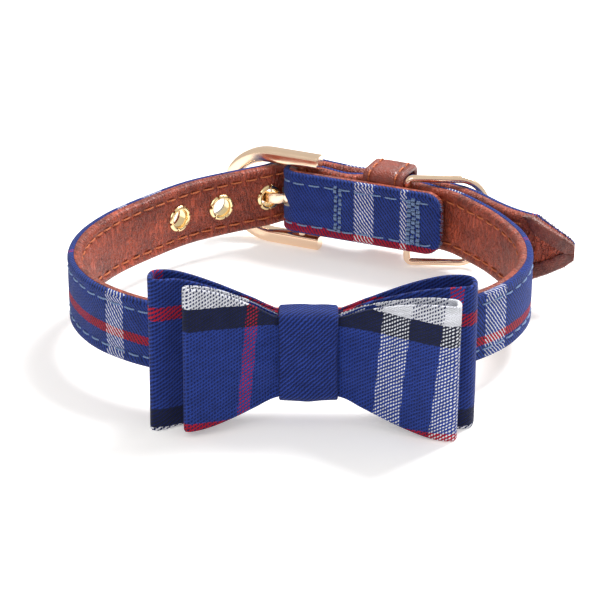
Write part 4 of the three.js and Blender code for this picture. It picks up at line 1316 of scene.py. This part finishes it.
def keeper():
    """A leather band round the strap and the billet."""
    outer = BILLET_AT_KEEPER + 3 * SEAT_GAP
    low, high = -STRAP_WIDTH / 2 - KEEPER_PLAY, STRAP_WIDTH / 2 + KEEPER_PLAY
    depth, height = outer + KEEPER_THICK - KEEPER_INNER, high - low + 2 * KEEPER_THICK
    ring, _ = even_ring(depth, height, KEEPER_CORNER, 0.45)
    normal = ring_normals(ring)[1]
    half = KEEPER_WIDTH / 2
    rows = band_rows(half, 0.5, KEEPER_THICK, 29, 0.0)
    groove = sum(np.exp(-((rows[:, 0] - at) / 0.4) ** 2) for at in KEEPER_STITCH_ROWS)
    stand = rows[:, 1] + (0.14 * (1 - (rows[:, 0] / half) ** 2) - 0.28 * groove) * rows[:, 2]
    origin = at_fold(KEEPER_AT, (KEEPER_INNER + outer + KEEPER_THICK) / 2)
    origin[2] = mid_height(at_fold(KEEPER_AT, 0)[1])
    spot = ring[:, None] + normal[:, None] * stand[None, :, None]
    points = lay(spot, FOLD_OUT, UP) + origin + rows[None, :, :1] * FOLD_ALONG
    made = Pieces()
    made.grid(points, wrap_rows=True, wrap_columns=True, flip=True)
    finish_piece(made.make("keeper_leather", leather_keeper, smooth=60), "leather", "keeper")
    stitches = Pieces()
    arch = np.sin(np.linspace(0, math.pi, 7)) ** 0.5
    for at in KEEPER_STITCH_ROWS:
        for first in range(0, len(ring) - 7, 9):
            flat = ring[first:first + 7] + normal[first:first + 7] * (0.36 * arch - 0.3)[:, None]
            tube(stitches, lay(flat, FOLD_OUT, UP) + origin + at * FOLD_ALONG, THREAD / 2)
    finish_piece(stitches.make("keeper_stitches", tan_thread, smooth=60, weld=0.002), "leather")


# Studio

CAMERA_AT = (-5.814, -473.63, 227.5)
CAMERA_TARGET = (-5.814, -11.43, 12.0)
CAMERA_LENS = 142.1
LIGHT_TARGET = (-6, -12, 12)


def area_light(name, at, size, power):
    """A rectangular lamp. Place and size are in millimetres, and the power in watts."""
    data = bpy.data.lights.new(name, "AREA")
    data.shape = "RECTANGLE"
    data.size, data.size_y = (side / 1000 for side in size)
    data.energy = power
    light = bpy.data.objects.new(name, data)
    bpy.context.scene.collection.objects.link(light)
    aim(light, at, LIGHT_TARGET)


def aim(thing, at, target):
    """Places a light or the camera and turns it to a target, both in millimetres."""
    thing.location = Vector(at) / 1000
    way = (Vector(target) - Vector(at)).normalized()
    thing.rotation_mode = "QUATERNION"
    thing.rotation_quaternion = way.to_track_quat("-Z", "Y")


def floor():
    """A white floor under the part, a little bright of its own."""
    mesh = bpy.data.meshes.new("floor")
    side = 6.0
    mesh.from_pydata([(-side, -side, 0), (side, -side, 0), (side, side, 0), (-side, side, 0)],
                     [], [(0, 1, 2, 3)])
    paper = plain("floor", (0.9, 0.895, 0.885, 1), 0.7)
    surface = paper.node_tree.nodes["Principled BSDF"]
    surface.inputs["Emission Color"].default_value = (1, 0.985, 0.97, 1)
    surface.inputs["Emission Strength"].default_value = 0.3
    mesh.materials.append(paper)
    made = bpy.data.objects.new("floor", mesh)
    bpy.context.scene.collection.objects.link(made)


def sky():
    """Even light from all round."""
    world = bpy.data.worlds.new("studio")
    world.use_nodes = True
    light = world.node_tree.nodes["Background"]
    light.inputs[0].default_value = (1, 0.985, 0.965, 1)
    light.inputs[1].default_value = 0.68
    bpy.context.scene.world = world


def camera():
    """The photograph's view: 25 degrees down, along +Y, its values from the fit to the strap."""
    data = bpy.data.cameras.new("camera")
    data.sensor_width = 36
    data.lens = CAMERA_LENS
    data.clip_start, data.clip_end = 0.05, 50
    made = bpy.data.objects.new("camera", data)
    bpy.context.scene.collection.objects.link(made)
    aim(made, CAMERA_AT, CAMERA_TARGET)
    bpy.context.scene.camera = made


def studio():
    floor()
    sky()
    area_light("key", (260, 260, 480), (260, 260), 5.5)
    area_light("fill", (-300, -520, 420), (400, 400), 1.0)
    camera()
    bpy.context.scene.view_settings.view_transform = "Standard"


strap()
bow()
knot()
for eyelet_number in EYELET_NUMBERS:
    eyelet(eyelet_number)
buckle()
tongue()
d_ring()
keeper()
studio()
